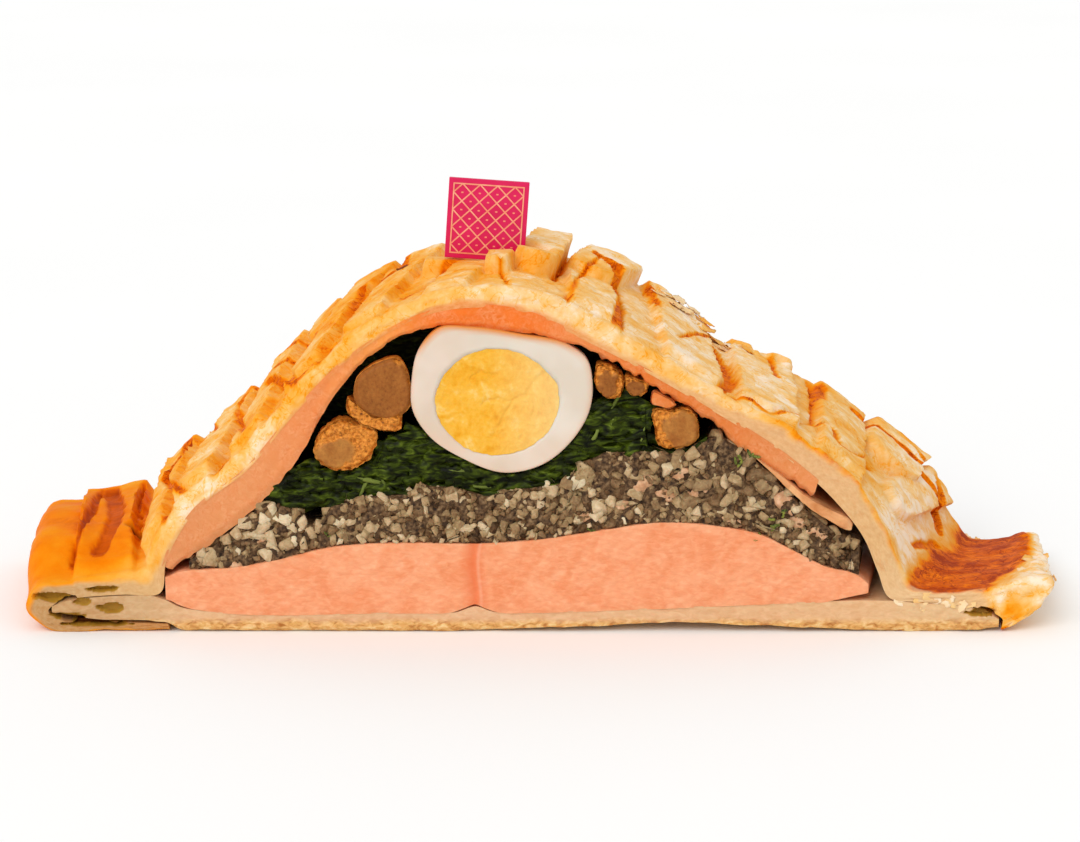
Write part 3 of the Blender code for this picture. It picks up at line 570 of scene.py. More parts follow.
def random_turns(count, draw, tilt=None, lean=None):
    """Rotation matrices: any turn, or a turn about Y by lean with a wobble of up to tilt."""
    if tilt is None:
        q = draw.normal(size=(count, 4))
    else:
        spin = -np.asarray(lean) / 2
        wobble = draw.uniform(-tilt, tilt, (count, 2))
        q = np.stack([np.cos(spin), wobble[:, 0], np.sin(spin), wobble[:, 1]], axis=1)
    w, x, y, z = (q / np.linalg.norm(q, axis=1)[:, None]).T
    return np.stack([
        np.stack([1 - 2 * (y * y + z * z), 2 * (x * y - z * w), 2 * (x * z + y * w)], -1),
        np.stack([2 * (x * y + z * w), 1 - 2 * (x * x + z * z), 2 * (y * z - x * w)], -1),
        np.stack([2 * (x * z - y * w), 2 * (y * z + x * w), 1 - 2 * (x * x + y * y)], -1),
    ], axis=1)


TRIM = 0.92             # how much of what reaches out past a cut is pressed back to it
GRID = 6                # places are looked for among their neighbours in squares of this size


def join_copies(name, shapes, centres, sizes, turns, values):
    """One mesh of a copy of a shape at each centre, in millimetres, trimmed at the two cuts."""
    points, faces, numbers = [], [], {key: [] for key in values}
    first = 0
    for i in range(len(centres)):
        shape_points, shape_faces = shapes[i % len(shapes)]
        spots = shape_points * sizes[i] @ turns[i].T + centres[i]
        over = np.maximum(np.abs(spots[:, 1]) - HALF_DEPTH, 0.0)
        spots[:, 1] -= np.sign(spots[:, 1]) * over * TRIM
        points.append(spots * MM)
        faces.extend(tuple(n + first for n in face) for face in shape_faces)
        first += len(spots)
        for key in values:
            numbers[key].append(np.full(len(spots), values[key][i]))
    numbers = {key: np.concatenate(rows) for key, rows in numbers.items()}
    return make_mesh(name, np.concatenate(points), faces, numbers)


def behind(side, depth, x, z):
    """A place this deep behind one of the cuts, in millimetres."""
    return place(x, z, side * (HALF_DEPTH - depth)) / MM


def scatter_in(upper, lower, sizes, tries, draw, spacing=0.8, size_at=None):
    """Places x, z and sizes inside a layer's section, apart by their sizes."""
    spots = []
    cells = {}
    for number in range(tries):
        x = draw.uniform(upper[0, 0] + 1.0, upper[-1, 0] - 1.0)
        low = np.interp(x, lower[:, 0], lower[:, 1])
        high = np.interp(x, upper[:, 0], upper[:, 1])
        z = draw.uniform(low, high)
        size = draw.uniform(*sizes) * (size_at(x, z) if size_at else 1.0)
        if not low + size * 0.35 < z < high - size * 0.2:
            continue
        key = (int(x // GRID), int(z // GRID))
        near = [s for a in (-1, 0, 1) for b in (-1, 0, 1)
                for s in cells.get((key[0] + a, key[1] + b), ())]
        if any(math.hypot(x - s[0], z - s[1]) < (size + s[2]) / 2 * spacing for s in near):
            continue
        cells.setdefault(key, []).append((x, z, size))
        spots.append((x, z, size))
    return np.array(spots)


def above_fillet(x, z):
    return z - np.interp(x, fillet_upper[:, 0], fillet_upper[:, 1])


def dice_size(x, z):
    """Dice are coarsest at the upper right and far left, and fine in a band over the fillet."""
    return 0.5 + 0.4 * smoothstep((x + 20.0) / 60.0) * smoothstep(above_fillet(x, z) / 10.0) \
        + 0.15 * smoothstep(above_fillet(x, z) / 6.0) + 0.4 * smoothstep((-x - 45.0) / 25.0) \
        - 0.15 * smoothstep((x - 68.0) / 8.0)


def under_flake(x, z):
    """Whether a place of the cut is covered by a flake of fish or by herbs."""
    spots = [(flake[0], flake[1], flake[2] * 0.38, flake[3] * 0.4) for flake in FISH_FLAKES]
    spots += [(herb[0], herb[1], herb[2] * 0.5, herb[2] * 0.5) for herb in HERBS]
    return any(math.hypot((x - s[0]) / s[2], (z - s[1]) / s[3]) < 1.0 for s in spots)


draw = np.random.default_rng(5)
dice_shapes = lump_shapes(22, 10, draw)
centres, sizes, tones = [], [], []
for side in SIDES.values():
    spots = scatter_in(mince_upper, mince_lower, DICE_SIZES, DICE_TRIES, draw, spacing=0.58,
                       size_at=dice_size)
    for x, z, size in spots:
        recess = 1.9 * draw.uniform() ** 1.5 + (1.0 if under_flake(x, z) else 0.0)
        y = side * (HALF_DEPTH - 0.3 - size * draw.uniform(0.3, 0.5) - recess)
        centres.append(place(x, z, y) / MM)
        high = above_fillet(x, z)
        # A piece set further back from the cut, as under a flake, gets a darker tone: painted shade
        # in its recess. Pieces are also paler high over the fillet and at the far left, and darker at
        # the right end.
        tones.append(np.clip(draw.normal(0.5, 0.2) + 0.08 * smoothstep((high - 3.0) / 8.0)
                             + 0.2 * smoothstep((-x - 55.0) / 15.0) - 0.15 * recess
                             - 0.18 * smoothstep((x - 70.0) / 6.0), 0.0, 1.0))
        sizes.append(size * draw.uniform(0.85, 1.2, 3))
dice = join_copies("mushroom_dice", dice_shapes, centres, sizes, random_turns(len(centres), draw),
                   {"tone": tones})

# Diced mushroom and onion: waxy, beige to brown, each piece its own tone, painted darker as shade
# the further it sits behind the cut, and darker at its edges.
waxy, add, at = new_material("diced_mushroom", roughness=0.5, specular_ior_level=0.15,
                             subsurface_weight=0.15, subsurface_scale=0.002)
tone = add("Attribute", attribute_name="tone")
mottle = add("TexNoise", at, Scale=1 / (1.5 * MM), Detail=5.0, Roughness=0.6, Distortion=0.8)
mixed = add("Math", mottle, 0.75, tone, operation="MULTIPLY_ADD")
tint = add("ValToRGB", mixed, stops=[(0.36, "#38230F"), (1.0, "#BFA27A"), (0.52, "#694C2F"),
                                     (0.68, "#8A6C4A"), (0.84, "#A5885F")])
light = add("MapRange", mixed, 1.0, 1.35)
creamy = add("Mix", light, tint, "#E6D0AC")
dress(waxy, creamy, mottle, 0.7, 0.5)
finish_piece(dice, waxy, "mince")

crumb_shapes = lump_shapes(6, 9, draw)
centres, sizes, tones = [], [], []
for side in SIDES.values():
    spots = scatter_in(mince_upper, mince_lower, CRUMB_SIZES, CRUMB_TRIES, draw, spacing=0.7)
    for x, z, size in spots:
        centres.append(behind(side, draw.uniform(1.4, 2.6), x, z))
        tones.append(np.clip(draw.normal(0.26, 0.16), 0.0, 1.0))
        sizes.append(size * draw.uniform(0.8, 1.3, 3))
crumb_bits = join_copies("mushroom_crumbs", crumb_shapes, centres, sizes,
                         random_turns(len(centres), draw), {"tone": tones})
finish_piece(crumb_bits, waxy, "mince")


def sheet_shapes(count, columns, rows, bend, ruffle, thickness, draw):
    """Thin torn sheets, closed all round, a unit long and high, that bend and ruffle."""
    shapes = []
    across, up = np.meshgrid(np.linspace(-1, 1, columns), np.linspace(-1, 1, rows))
    for number in range(count):
        shift = draw.uniform(0.0, 90.0, 3)
        spot = np.stack([across, up], -1) + shift[:2]
        tear = 1.0 + 0.22 * smooth_noise(spot * 3.0, 1.0, 201)
        taper = np.sqrt(1.0 - 0.6 * across ** 2)
        x = across * 0.5 * (1.0 + 0.12 * smooth_noise(spot * 2.0, 1.0, 202))
        z = up * 0.5 * taper * tear
        y = bend * (across ** 2 + 0.5 * up ** 2) + ruffle * smooth_noise(spot, 0.45, 203)
        front = np.stack([x, y, z], -1).reshape(-1, 3)
        points = np.concatenate([front, front + (0.0, thickness, 0.0)])
        one = np.arange(columns * rows).reshape(rows, columns)
        two = one + columns * rows
        faces = grid_faces(one) + grid_faces(two[::-1])
        rim = [*one[0], *one[1:, -1], *one[-1, -2::-1], *one[-2:0:-1, 0]]
        for a, b in zip(rim, rim[1:] + rim[:1]):
            faces.append((int(b), int(a), int(a + columns * rows), int(b + columns * rows)))
        shapes.append((points, [tuple(face) for face in faces]))
    return shapes


flake_shapes = sheet_shapes(5, 9, 6, 0.06, 0.1, 0.12, draw)
centres, sizes, leans = [], [], []
for side in SIDES.values():
    for x, z, length, tall, lean in FISH_FLAKES:
        centres.append(behind(side, 1.1, x, z))
        sizes.append(np.array([length, -side * 6.0, tall]))
        leans.append(lean)
fish = join_copies("fish_flakes", flake_shapes, centres, sizes,
                   random_turns(len(centres), draw, 0.12, leans), {})

# Flaked poached fish: matt, beige pink, with a grain along each flake.
flaked, add, at = new_material("flaked_poached_fish", roughness=0.6, specular_ior_level=0.2,
                               subsurface_weight=0.15, subsurface_scale=0.003)
grain = add("TexNoise", at, Scale=1 / (1.6 * MM), Detail=4.0)
tint = add("ValToRGB", grain, stops=[(0.3, "#AE7A54"), (0.72, "#E4B690"), (0.5, "#CB9870")])
dress(flaked, tint, grain, 0.5, 0.4)
finish_piece(fish, flaked, "mince")

herb_shapes = sheet_shapes(4, 7, 5, 0.1, 0.15, 0.08, draw)
centres, sizes, leans = [], [], []
for side in SIDES.values():
    for x, z, size in HERBS:
        for number in range(3):
            near = draw.uniform(-0.45, 0.45, 2) * size
            centres.append(behind(side, 0.5, x + near[0], z + near[1]))
            sizes.append(np.array([0.9, 0.5, 0.3]) * size * draw.uniform(0.7, 1.1))
            leans.append(draw.uniform(-1.4, 1.4))
herbs = join_copies("chopped_herbs", herb_shapes, centres, sizes,
                    random_turns(len(centres), draw, 0.15, leans), {})

# Chopped dill and leek: thin soft green bits, a little glossy.
herb, add, at = new_material("chopped_green_herb", roughness=0.5, specular_ior_level=0.25)
grain = add("TexNoise", at, Scale=1 / (1.2 * MM))
tint = add("ValToRGB", grain, stops=[(0.35, "#2C3A0C"), (0.65, "#8A8E36")])
dress(herb, tint)
finish_piece(herbs, herb, "greens")

# ------------------------------------------------------------------------------------------------
# The spinach: leaves wilted in butter and pressed into a layer under the egg, dark green and
# wet, in crumpled folds with a few paler stalks, cut through with the rest.
SPINACH_WALL = 4.6      # half the thickness of the wall of spinach between the two egg halves
LEAF_TRIES = 900
LEAF_SIZE = 7.5
STALK_SHARE = 0.07
LINING_INNER = [    # the salmon lining's lower side along the front cut: x, z
    (-100.8, 17.8), (-88.5, 26.0), (-73.5, 39.5), (-64.5, 50.5), (-57.5, 63.5), (-46.0, 77.0),
    (-36.0, 83.2), (-25.0, 86.6), (-10.0, 85.8), (5.0, 83.0), (14.0, 78.6), (26.0, 72.6),
    (42.5, 61.2), (56.5, 52.2), (66.0, 45.5), (74.5, 39.4),
]


def spinach_carve(along, x, z, share):
    spot = pairs(x, z)
    bent = spot + pairs(3.0 * smooth_noise(spot, 9.0, 51), 2.0 * smooth_noise(spot, 7.0, 52))
    folds = np.abs(smooth_noise(bent, (7.0, 2.2), 53))
    return 1.4 + 2.2 * (0.6 - folds) + 0.5 * smooth_noise(bent, (2.4, 0.9), 54)


spinach_upper, spinach_lower = pair_lines(*section_of("spinach"))
spinach_lower[:, 1] -= TOUCH
wall_top = np.interp(spinach_upper[:, 0], *np.array(LINING_INNER).T) + 0.9
room = np.maximum(wall_top - spinach_upper[:, 1], 0.0)


def wall_at(y):
    """From 1 in the wall of spinach between the egg halves to 0 outside it."""
    return 1.0 - smoothstep((np.abs(y) - SPINACH_WALL + 0.1) / 1.6)


def spinach_lift(along, y):
    return 0.35 * smooth_noise(pairs(along, y), 3.0, 55) * (1.0 - wall_at(y))


spinach = make_layer("wilted_spinach", spinach_upper, spinach_lower,
                     np.sort(np.append(through(40), [-6.2, -5.4, -4.5, 4.5, 5.4, 6.2])),
                     spinach_carve, lift=spinach_lift, rise=lambda x, z, y: room * wall_at(y),
                     shares=np.linspace(0.0, 1.0, 45),
                     # Its top, deep behind each cut, is painted near black as shade.
                     values=lambda along, y, share, x, z: {
                         "shade": smoothstep((share - 0.9) / 0.1) * wall_at(np.abs(y) - 22.0)})

# Wilted spinach: thin wet leaf, dark green with near-black patches of painted shade in its folds
# and mid green patches of painted highlight where light catches it. Its top, deep behind the
# cuts, is painted near black as shade.
leaf, add, at = new_material("wilted_spinach_leaf", roughness=0.35, specular_ior_level=0.08)
shade = add("Attribute", attribute_name="shade")
stalk = add("Attribute", attribute_name="stalk")
flat = add("Mapping", at, Scale=(0.35, 0.6, 1.0))
veins = add("TexNoise", flat, Scale=1 / (1.6 * MM), Detail=5.0, Distortion=1.0)
tint = add("ValToRGB", veins, stops=[(0.36, "#080B00"), (0.8, "#74842A"), (0.5, "#222A03"),
                                     (0.62, "#404D0C")])
stalked = add("Mix", stalk, tint, "#76823A")
deep_shade_painted = add("Mix", shade, stalked, "#150403")
dress(leaf, deep_shade_painted, veins, 0.7, 0.6)
finish_piece(spinach, leaf, "greens", "spinach")

leaf_shapes = sheet_shapes(7, 9, 3, 0.1, 0.16, 0.05, draw)
centres, sizes, leans, stalks = [], [], [], []
for side in SIDES.values():
    spots = scatter_in(spinach_upper, spinach_lower, (LEAF_SIZE * 0.5, LEAF_SIZE * 0.8),
                       LEAF_TRIES, draw, spacing=0.42)
    for x, z, size in spots:
        pale = draw.uniform() < STALK_SHARE
        depth = draw.uniform(1.3, 1.6) if pale else draw.uniform(1.5, 3.0)
        centres.append(behind(side, depth, x, z))
        sizes.append(np.array([1.15, 0.9, 0.2] if pale else [2.0, 1.3, 0.85]) * size)
        leans.append(draw.normal(0.1, 0.9 if pale else 0.5))
        stalks.append(draw.uniform(0.5, 1.0) if pale else 0.0)
leaves = join_copies("spinach_leaf_folds", leaf_shapes, centres, sizes,
                     random_turns(len(centres), draw, 0.12, leans), {"stalk": stalks})
finish_piece(leaves, leaf, "greens")

# ------------------------------------------------------------------------------------------------
# The boiled egg: shelled and halved, one half at each cut. The white is smooth, firm and a
# little translucent. The yolk is crumbly, with fine cracks, and sits a hair below the white.
EGG = [     # outline of the white at the cut: x, z
    (14.2, 70.0), (12.6, 76.6), (8.0, 80.4), (-6.0, 83.8), (-18.0, 85.6), (-27.0, 85.4),
    (-32.6, 79.4), (-34.6, 71.0), (-34.4, 62.6), (-30.0, 55.4), (-20.9, 49.2), (-9.5, 45.2),
    (0.5, 47.4), (9.0, 54.6), (13.4, 62.6),
]
EGG_HALF_LENGTH = 28.0
YOLK_CENTRE = np.array([-11.6, 65.0])
YOLK_RADII = (17.0, 14.6)
YOLK_HALF_LENGTH = 16.0
WHITE_CUT = [(0.02, 0.3), (0.05, 0.1), (0.1, 0.02), (0.2, 0.0), (0.35, 0.0), (0.6, 0.0),
             (0.85, 0.02), (1.0, 0.06)]     # share of the way from rim to yolk, and how deep
RIM_DROP = 0.7          # how far the white's rim is rounded off behind the cut
BOWL_ROUNDNESS = 0.8
POLE = math.radians(84.0)       # rings stop short of a pole, and a point closes them
CRACK_DEPTH, CRACK_REACH = 0.34, 0.9
YOLK_CRACKS = [     # lines over the cut of the yolk
    [(2.9, 74.2), (-0.6, 71.4), (-3.4, 67.2), (-7.4, 64.8), (-9.4, 61.0), (-12.6, 56.2)],
    [(-3.4, 67.2), (-1.2, 65.4), (-1.6, 61.8)], [(-7.4, 64.8), (-11.6, 66.0), (-15.4, 64.4)],
    [(-9.4, 61.0), (-5.8, 58.2), (-5.2, 55.0)], [(-18.8, 71.4), (-15.6, 73.0), (-11.8, 72.2)],
]


def loft(name, rings, values=None):
    """A closed skin over rings of points in metres, with a point in the middle of each end.

    values gives a number for each ring's points by name, as rows like the rings.
    """
    rings = np.array(rings)
    count, around = rings.shape[:2]
    points = rings.reshape(-1, 3)
    numbers = np.arange(count * around).reshape(count, around)
    wrapped = np.concatenate([numbers, numbers[:, :1]], axis=1)
    faces = grid_faces(wrapped)
    points = np.concatenate([points, rings[0].mean(0)[None], rings[-1].mean(0)[None]])
    first, last = count * around, count * around + 1
    for i in range(around):
        faces.append((first, int(wrapped[0, i + 1]), int(wrapped[0, i])))
        faces.append((last, int(wrapped[-1, i]), int(wrapped[-1, i + 1])))
    noted = {}
    for key, rows in (values or {}).items():
        rows = np.array(rows)
        noted[key] = np.concatenate([rows.reshape(-1), [rows[0].mean(), rows[-1].mean()]])
    return make_mesh(name, points, faces, noted)


def at_cut(line, side, dip):
    """A line of the section, dip behind one of the cuts."""
    return place(*line.T, side * (HALF_DEPTH - dip))


def bowl(side, line, middle, depth, turns, recess=0.0):
    """Rings of half an ellipsoid behind a cut, at turns from its outline towards its pole."""
    return [place(*(middle + (line - middle) * math.cos(turn) ** BOWL_ROUNDNESS).T,
                  side * (HALF_DEPTH - recess - depth * math.sin(turn))) for turn in turns]


def round_yolk(outline):
    """Points of the outline at even angles round the yolk's centre, and their directions."""
    fine = smooth_curve(outline, 1440, closed=True) - YOLK_CENTRE
    turn = np.arctan2(fine[:, 1], fine[:, 0]) % (2 * math.pi)
    order = np.argsort(turn)
    angles = np.linspace(0.0, 2 * math.pi, 200, endpoint=False)
    reach = np.interp(angles, turn[order], np.linalg.norm(fine, axis=1)[order], period=2 * math.pi)
    outward = pairs(np.cos(angles), np.sin(angles))
    return YOLK_CENTRE + outward * reach[:, None], outward


egg_line, outward = round_yolk(EGG)
yolk_line = YOLK_CENTRE + outward * YOLK_RADII
bumps = 0.4 * smooth_noise(yolk_line, 5.0, 61) + 0.18 * smooth_noise(yolk_line, 1.2, 62)
yolk_line += outward * bumps[:, None]

# Boiled egg white: smooth and satin, light passes a little way into it, orange brown along its
# upper edge and beige round the rest of its rim, with painted beige shade over the left and lower
# part of its cut.
white, add, at = new_material("boiled_egg_white", roughness=0.35, specular_ior_level=0.3,
                              subsurface_weight=0.2, subsurface_scale=0.003)
rim_tint_and_shade = add("Attribute", attribute_name="rim_tint_and_shade")
soft = add("TexNoise", at, Scale=1 / (14 * MM), Detail=2.0)
tint = add("ValToRGB", soft, stops=[(0.35, "#D8CAB8"), (0.65, "#E2D7C9")])
warm_tint = add("Mix", rim_tint_and_shade, tint, "#D88B40")
dress(white, warm_tint)

# Hard-boiled yolk: dry and crumbly, deep yellow with paler powdery patches.
powder, add, at = new_material("boiled_egg_yolk", roughness=0.8, specular_ior_level=0.15,
                               subsurface_weight=0.1, subsurface_scale=0.003)
crumbs = add("TexNoise", at, Scale=1 / (1.3 * MM), Detail=6.0, Roughness=0.65)
clouds = add("TexNoise", at, Scale=1 / (5 * MM), Detail=5.0, Roughness=0.6, Distortion=0.6)
mixed = add("Math", crumbs, 0.5, clouds, operation="MULTIPLY_ADD")
tint = add("ValToRGB", mixed, stops=[(0.5, "#E89C18"), (1.0, "#F6CE78"), (0.66, "#F0AD2E"),
                                     (0.82, "#F3B944")])
split = add("SeparateXYZ", at).node.outputs
dusty = add("MapRange", split["X"], -14 * MM, 5 * MM, 0.0, 0.45)
faded = add("Mix", dusty, tint, "#F8DA9C")
dress(powder, faded, crumbs, 0.9, 0.5)

middle = egg_line.mean(axis=0)
hollow = YOLK_CENTRE + (yolk_line - YOLK_CENTRE) * 0.99
upper_rim = smoothstep((egg_line[:, 1] - 77.0) / 6.0)
for where, side in SIDES.items():
    rings = bowl(side, egg_line, middle, EGG_HALF_LENGTH - RIM_DROP, np.linspace(POLE, 0.0, 26),
                 RIM_DROP)
    # Its rounded outside is tinted orange brown, most along the top.
    rim_tints_and_shades = [0.25 + 0.75 * upper_rim] * len(rings)
    for share, depth in WHITE_CUT:
        line = egg_line + (hollow - egg_line) * share
        rings.append(at_cut(line, side, depth))
        inward = np.linalg.norm(line - egg_line, axis=1)
        # The cut gets a band of orange brown along its rim, most at the top, and painted beige shade
        # over its left and lower part.
        beige = 0.12 * smoothstep((-12.0 - line[:, 0]) / 14.0) \
            + 0.16 * smoothstep((62.0 - line[:, 1]) / 10.0)
        rim_tints_and_shades.append(np.maximum(smoothstep(1.0 - inward / 2.2) * (0.3 + 0.7 * upper_rim), beige))
    cup = bowl(side, hollow, YOLK_CENTRE, YOLK_HALF_LENGTH + 0.4, np.linspace(0.2, POLE, 10))
    rings += [at_cut(hollow, side, 0.5), *cup]
    rim_tints_and_shades += [np.zeros(len(hollow))] * (1 + len(cup))
    finish_piece(loft("egg_white_half_" + where, rings, {"rim_tint_and_shade": rim_tints_and_shades}), white, "egg_white",
                 "egg_white_" + where)

    rings = bowl(side, yolk_line, YOLK_CENTRE, YOLK_HALF_LENGTH, np.linspace(POLE, 0.05, 12))
    for share in np.linspace(0.99, 0.02, 66):
        line = YOLK_CENTRE + (yolk_line - YOLK_CENTRE) * share
        crumbs = 0.12 * smooth_noise(line, 1.6, 63) + 0.08 * smooth_noise(line, 0.8, 64)
        crumbs += 0.25 * smooth_noise(line, 6.0, 65)
        crack = np.full(len(line), 99.0)
        bent = line + 0.5 * pairs(smooth_noise(line, 1.8, 66), smooth_noise(line, 1.8, 67))
        for path in YOLK_CRACKS:
            for start, end in zip(path, path[1:]):
                step = np.subtract(end, start)
                part = np.clip((bent - start) @ step / (step @ step), 0.0, 1.0)
                crack = np.minimum(crack, np.linalg.norm(bent - start - part[:, None] * step, axis=1))
        crumbs = crumbs * (0.3 + 0.7 * smoothstep((1.0 - share) / 0.15))
        dip = 0.02 + 0.1 * smoothstep((1.0 - share) / 0.06) + crumbs
        dip += CRACK_DEPTH * smoothstep(1.0 - crack / CRACK_REACH)
        rings.append(at_cut(line, side, dip))
    finish_piece(loft("egg_yolk_half_" + where, rings), powder, "egg_yolk", "egg_yolk_" + where)

# ------------------------------------------------------------------------------------------------
# The mushrooms: whole ones cooked brown and cut through beside the egg. A cut is smooth and tan,
# and the gills and torn skin round it are fuzzy and orange brown.
MUSHROOMS = {   # outline at the cut, then the smooth part of it: centre, radii and lean
    "mushroom_cup": ([
        (-49.2, 70.6), (-49.6, 65.6), (-46.4, 61.6), (-39.2, 60.6), (-35.5, 64.0), (-35.2, 69.0),
        (-38.6, 76.4), (-43.4, 75.4)], (-43.0, 68.0), (9.5, 9.5), 0.0),
    "mushroom_ragged": ([
        (-51.4, 65.4), (-51.8, 62.4), (-47.6, 58.6), (-43.6, 57.2), (-38.4, 57.4), (-37.4, 60.4),
        (-46.6, 60.8), (-50.2, 64.6)], (-40.0, 58.6), (0.1, 0.1), 0.0),
    "mushroom_stem": ([
        (-54.6, 59.4), (-60.6, 52.4), (-60.0, 49.0), (-56.0, 46.4), (-51.4, 46.4), (-46.4, 49.8),
        (-45.2, 56.6), (-49.0, 58.0)], (-55.4, 50.6), (5.6, 3.7), 0.12),
    "mushroom_small": ([
        (15.6, 74.6), (15.6, 68.6), (17.4, 66.4), (21.4, 66.6), (22.4, 70.0), (20.6, 73.0)],
        (18.2, 70.0), (2.8, 3.4), 0.0),
    "mushroom_middle": ([
        (23.2, 71.4), (23.4, 68.2), (26.0, 66.6), (28.4, 67.2), (29.0, 69.4), (26.4, 70.8)],
        (26.0, 68.8), (2.4, 1.7), 0.0),
    "mushroom_square": ([
        (31.2, 62.6), (31.4, 56.6), (32.6, 53.0), (38.0, 52.6), (42.0, 54.6), (42.4, 58.6),
        (40.6, 62.0), (35.6, 62.4)], (38.4, 57.4), (4.6, 4.8), 0.3),
}
TONES = {"mushroom_cup": 0.3, "mushroom_ragged": 0.9, "mushroom_stem": 0.5,
         "mushroom_small": 0.32, "mushroom_middle": 0.24, "mushroom_square": 0.48}
PIECE_DEPTH = 15.0
SWELL = 1.06            # scene pieces fill the thin gaps round their solids
BODY_RINGS, CUT_RINGS = 18, 30      # rings of points down a piece's sides and over its cut


def make_chunk(name, outline, side, depth, smooth_part, rough=0.5, tone=0.5, points=120):
    """A piece of filling with its cut at one of the slice's cuts and a rounded inner end."""
    line = smooth_curve(outline, points, closed=True)
    centre = line.mean(axis=0)
    line = centre + (line - centre) * SWELL
    out = (line - centre) / np.linalg.norm(line - centre, axis=1)[:, None]
    (middle_x, middle_z), (radius_x, radius_z), lean = smooth_part
    layers, cut_values = [], []

    def smoothness(section):
        x, z = section[:, 0] - middle_x, section[:, 1] - middle_z
        x, z = x * math.cos(lean) + z * math.sin(lean), z * math.cos(lean) - x * math.sin(lean)
        edge = 0.25 * smooth_noise(section, 1.6, 91)
        return smoothstep((1.15 - np.hypot(x / radius_x, z / radius_z) + edge) / 0.25)

    def ruffle(section, y):
        spots = np.stack([*section.T, np.full(len(section), y)], axis=1)
        bumps = smooth_noise(spots, (1.6, 1.6, 4.0), 92) + 0.6 * smooth_noise(spots, 0.8, 93)
        return section + out * (rough * bumps)[:, None]

    for share in np.linspace(1.0, 0.05, BODY_RINGS):
        size = math.sqrt(max(1.0 - share ** 3, 0.03))
        y = side * (HALF_DEPTH - share * depth)
        section = ruffle(centre + (line - centre) * size, y)
        layers.append(place(*section.T, y))
        cut_values.append(np.zeros(len(section)))
    for share in np.linspace(0.985, 0.03, CUT_RINGS):
        section = centre + (line - centre) * share
        smooth = smoothness(section)
        fuzz = 0.6 * smooth_noise(section, (1.3, 0.8), 94) + 0.4 * smooth_noise(section, 0.7, 95)
        dip = (1.0 - smooth) * (0.6 + rough * 1.8 * fuzz) + 0.12 * smooth_noise(section, 3.0, 96)
        dip = dip + 1.1 * smoothstep((share - 0.84) / 0.16)
        section = section + out * (rough * share ** 6 * smooth_noise(section, 1.6, 97))[:, None]
        layers.append(at_cut(section, side, dip))
        cut_values.append(smooth)
    tones = [np.full(points, tone)] * len(layers)
    return loft(name, layers, {"smooth": cut_values, "tone": tones})


# Cooked mushroom: tan and satin where a knife went through it, orange brown and fuzzy with torn
# fibres elsewhere, and painted nearly black as shade in the creases between its fibres.
cooked, add, at = new_material("cooked_mushroom_flesh", roughness=0.5, specular_ior_level=0.2,
                               subsurface_weight=0.08, subsurface_scale=0.003)
smooth = add("Attribute", attribute_name="smooth")
tone = add("Attribute", attribute_name="tone")
fibres = add("TexNoise", at, Scale=1 / (0.9 * MM), Detail=5.0, Roughness=0.65)
clouds = add("TexNoise", at, Scale=1 / (4 * MM), Detail=4.0)
# Its darkest stop is painted shade in the creases between the fibres.
torn = add("ValToRGB", fibres, stops=[(0.28, "#4A1E05"), (0.68, "#F4A040"), (0.44, "#C27422")])
patchy = add("Math", clouds, 0.7, tone, operation="MULTIPLY_ADD")
cut_flesh = add("ValToRGB", patchy, stops=[(0.5, "#6E380C"), (1.0, "#B27A38"), (0.72, "#8A4E1C"),
                                           (0.86, "#9C652C")])
speckled = add("Mix", 0.2, cut_flesh, torn)
both = add("Mix", smooth, torn, speckled)
dress(cooked, both, fibres, 0.4, 0.3)
for where, side in SIDES.items():
    for name, (outline, middle, radii, lean) in MUSHROOMS.items():
        rough = 0.12 if name == "mushroom_cup" else 0.5
        chunk = make_chunk(name + "_cut_" + where, outline, side, PIECE_DEPTH,
                           (middle, radii, lean), rough, TONES[name])
        finish_piece(chunk, cooked, "mushroom", name + "_" + where)

# ------------------------------------------------------------------------------------------------
# The salmon lining: thin slices laid over the whole filling before the lid went on. They baked
# peach on the left, orange red over the egg, and ragged and loose down the right.
LID_SECTION = [     # the lid's outer and inner side along the front cut: x, z and x, z
    (-102.0, 0.2, -102.4, 2.2), (-119.0, 0.0, -118.0, 2.6), (-134.5, 0.2, -131.5, 3.2),
    (-141.3, 6.5, -135.2, 6.1), (-138.5, 12.2, -131.5, 9.0), (-128.5, 13.6, -126.0, 9.8),
    (-116.0, 15.8, -114.5, 10.6), (-108.5, 18.4, -104.4, 11.0), (-104.6, 27.0, -102.4, 20.0),
    (-97.8, 36.0, -95.2, 32.8), (-82.2, 48.8, -79.6, 45.8), (-67.8, 65.8, -64.8, 63.2),
    (-51.4, 82.0, -48.6, 78.8), (-29.0, 93.8, -27.6, 89.6), (-5.0, 96.0, -6.0, 89.8),
    (17.5, 86.0, 14.5, 80.6), (48.5, 67.2, 45.4, 63.2), (71.6, 54.6, 67.0, 49.2),
    (87.0, 40.4, 80.5, 37.0), (94.6, 28.0, 88.6, 26.4), (98.3, 19.0, 92.4, 17.4),
    (102.0, 12.8, 96.0, 9.6), (108.5, 11.8, 104.0, 8.6), (118.0, 12.0, 113.5, 7.8),
    (127.0, 13.2, 120.0, 6.9), (135.0, 15.6, 125.0, 5.2), (141.0, 13.6, 127.2, 3.6),
    (138.8, 9.0, 127.3, 2.4), (133.8, 4.6, 127.1, 1.4), (128.8, 0.3, 126.9, 0.5),
]
LID_POINTS = 590
GAP = 0.35              # how far the plaque's seat is below its foot
LINING_FIRST_Z = 18.5   # where the lining starts at the left and ends at the right
LINING_LAST_X = 75.5
SALMON_FLAKE = [
    (30.6, 67.6), (30.2, 64.6), (32.4, 63.8), (34.6, 63.2), (36.4, 64.0), (33.6, 66.4),
]
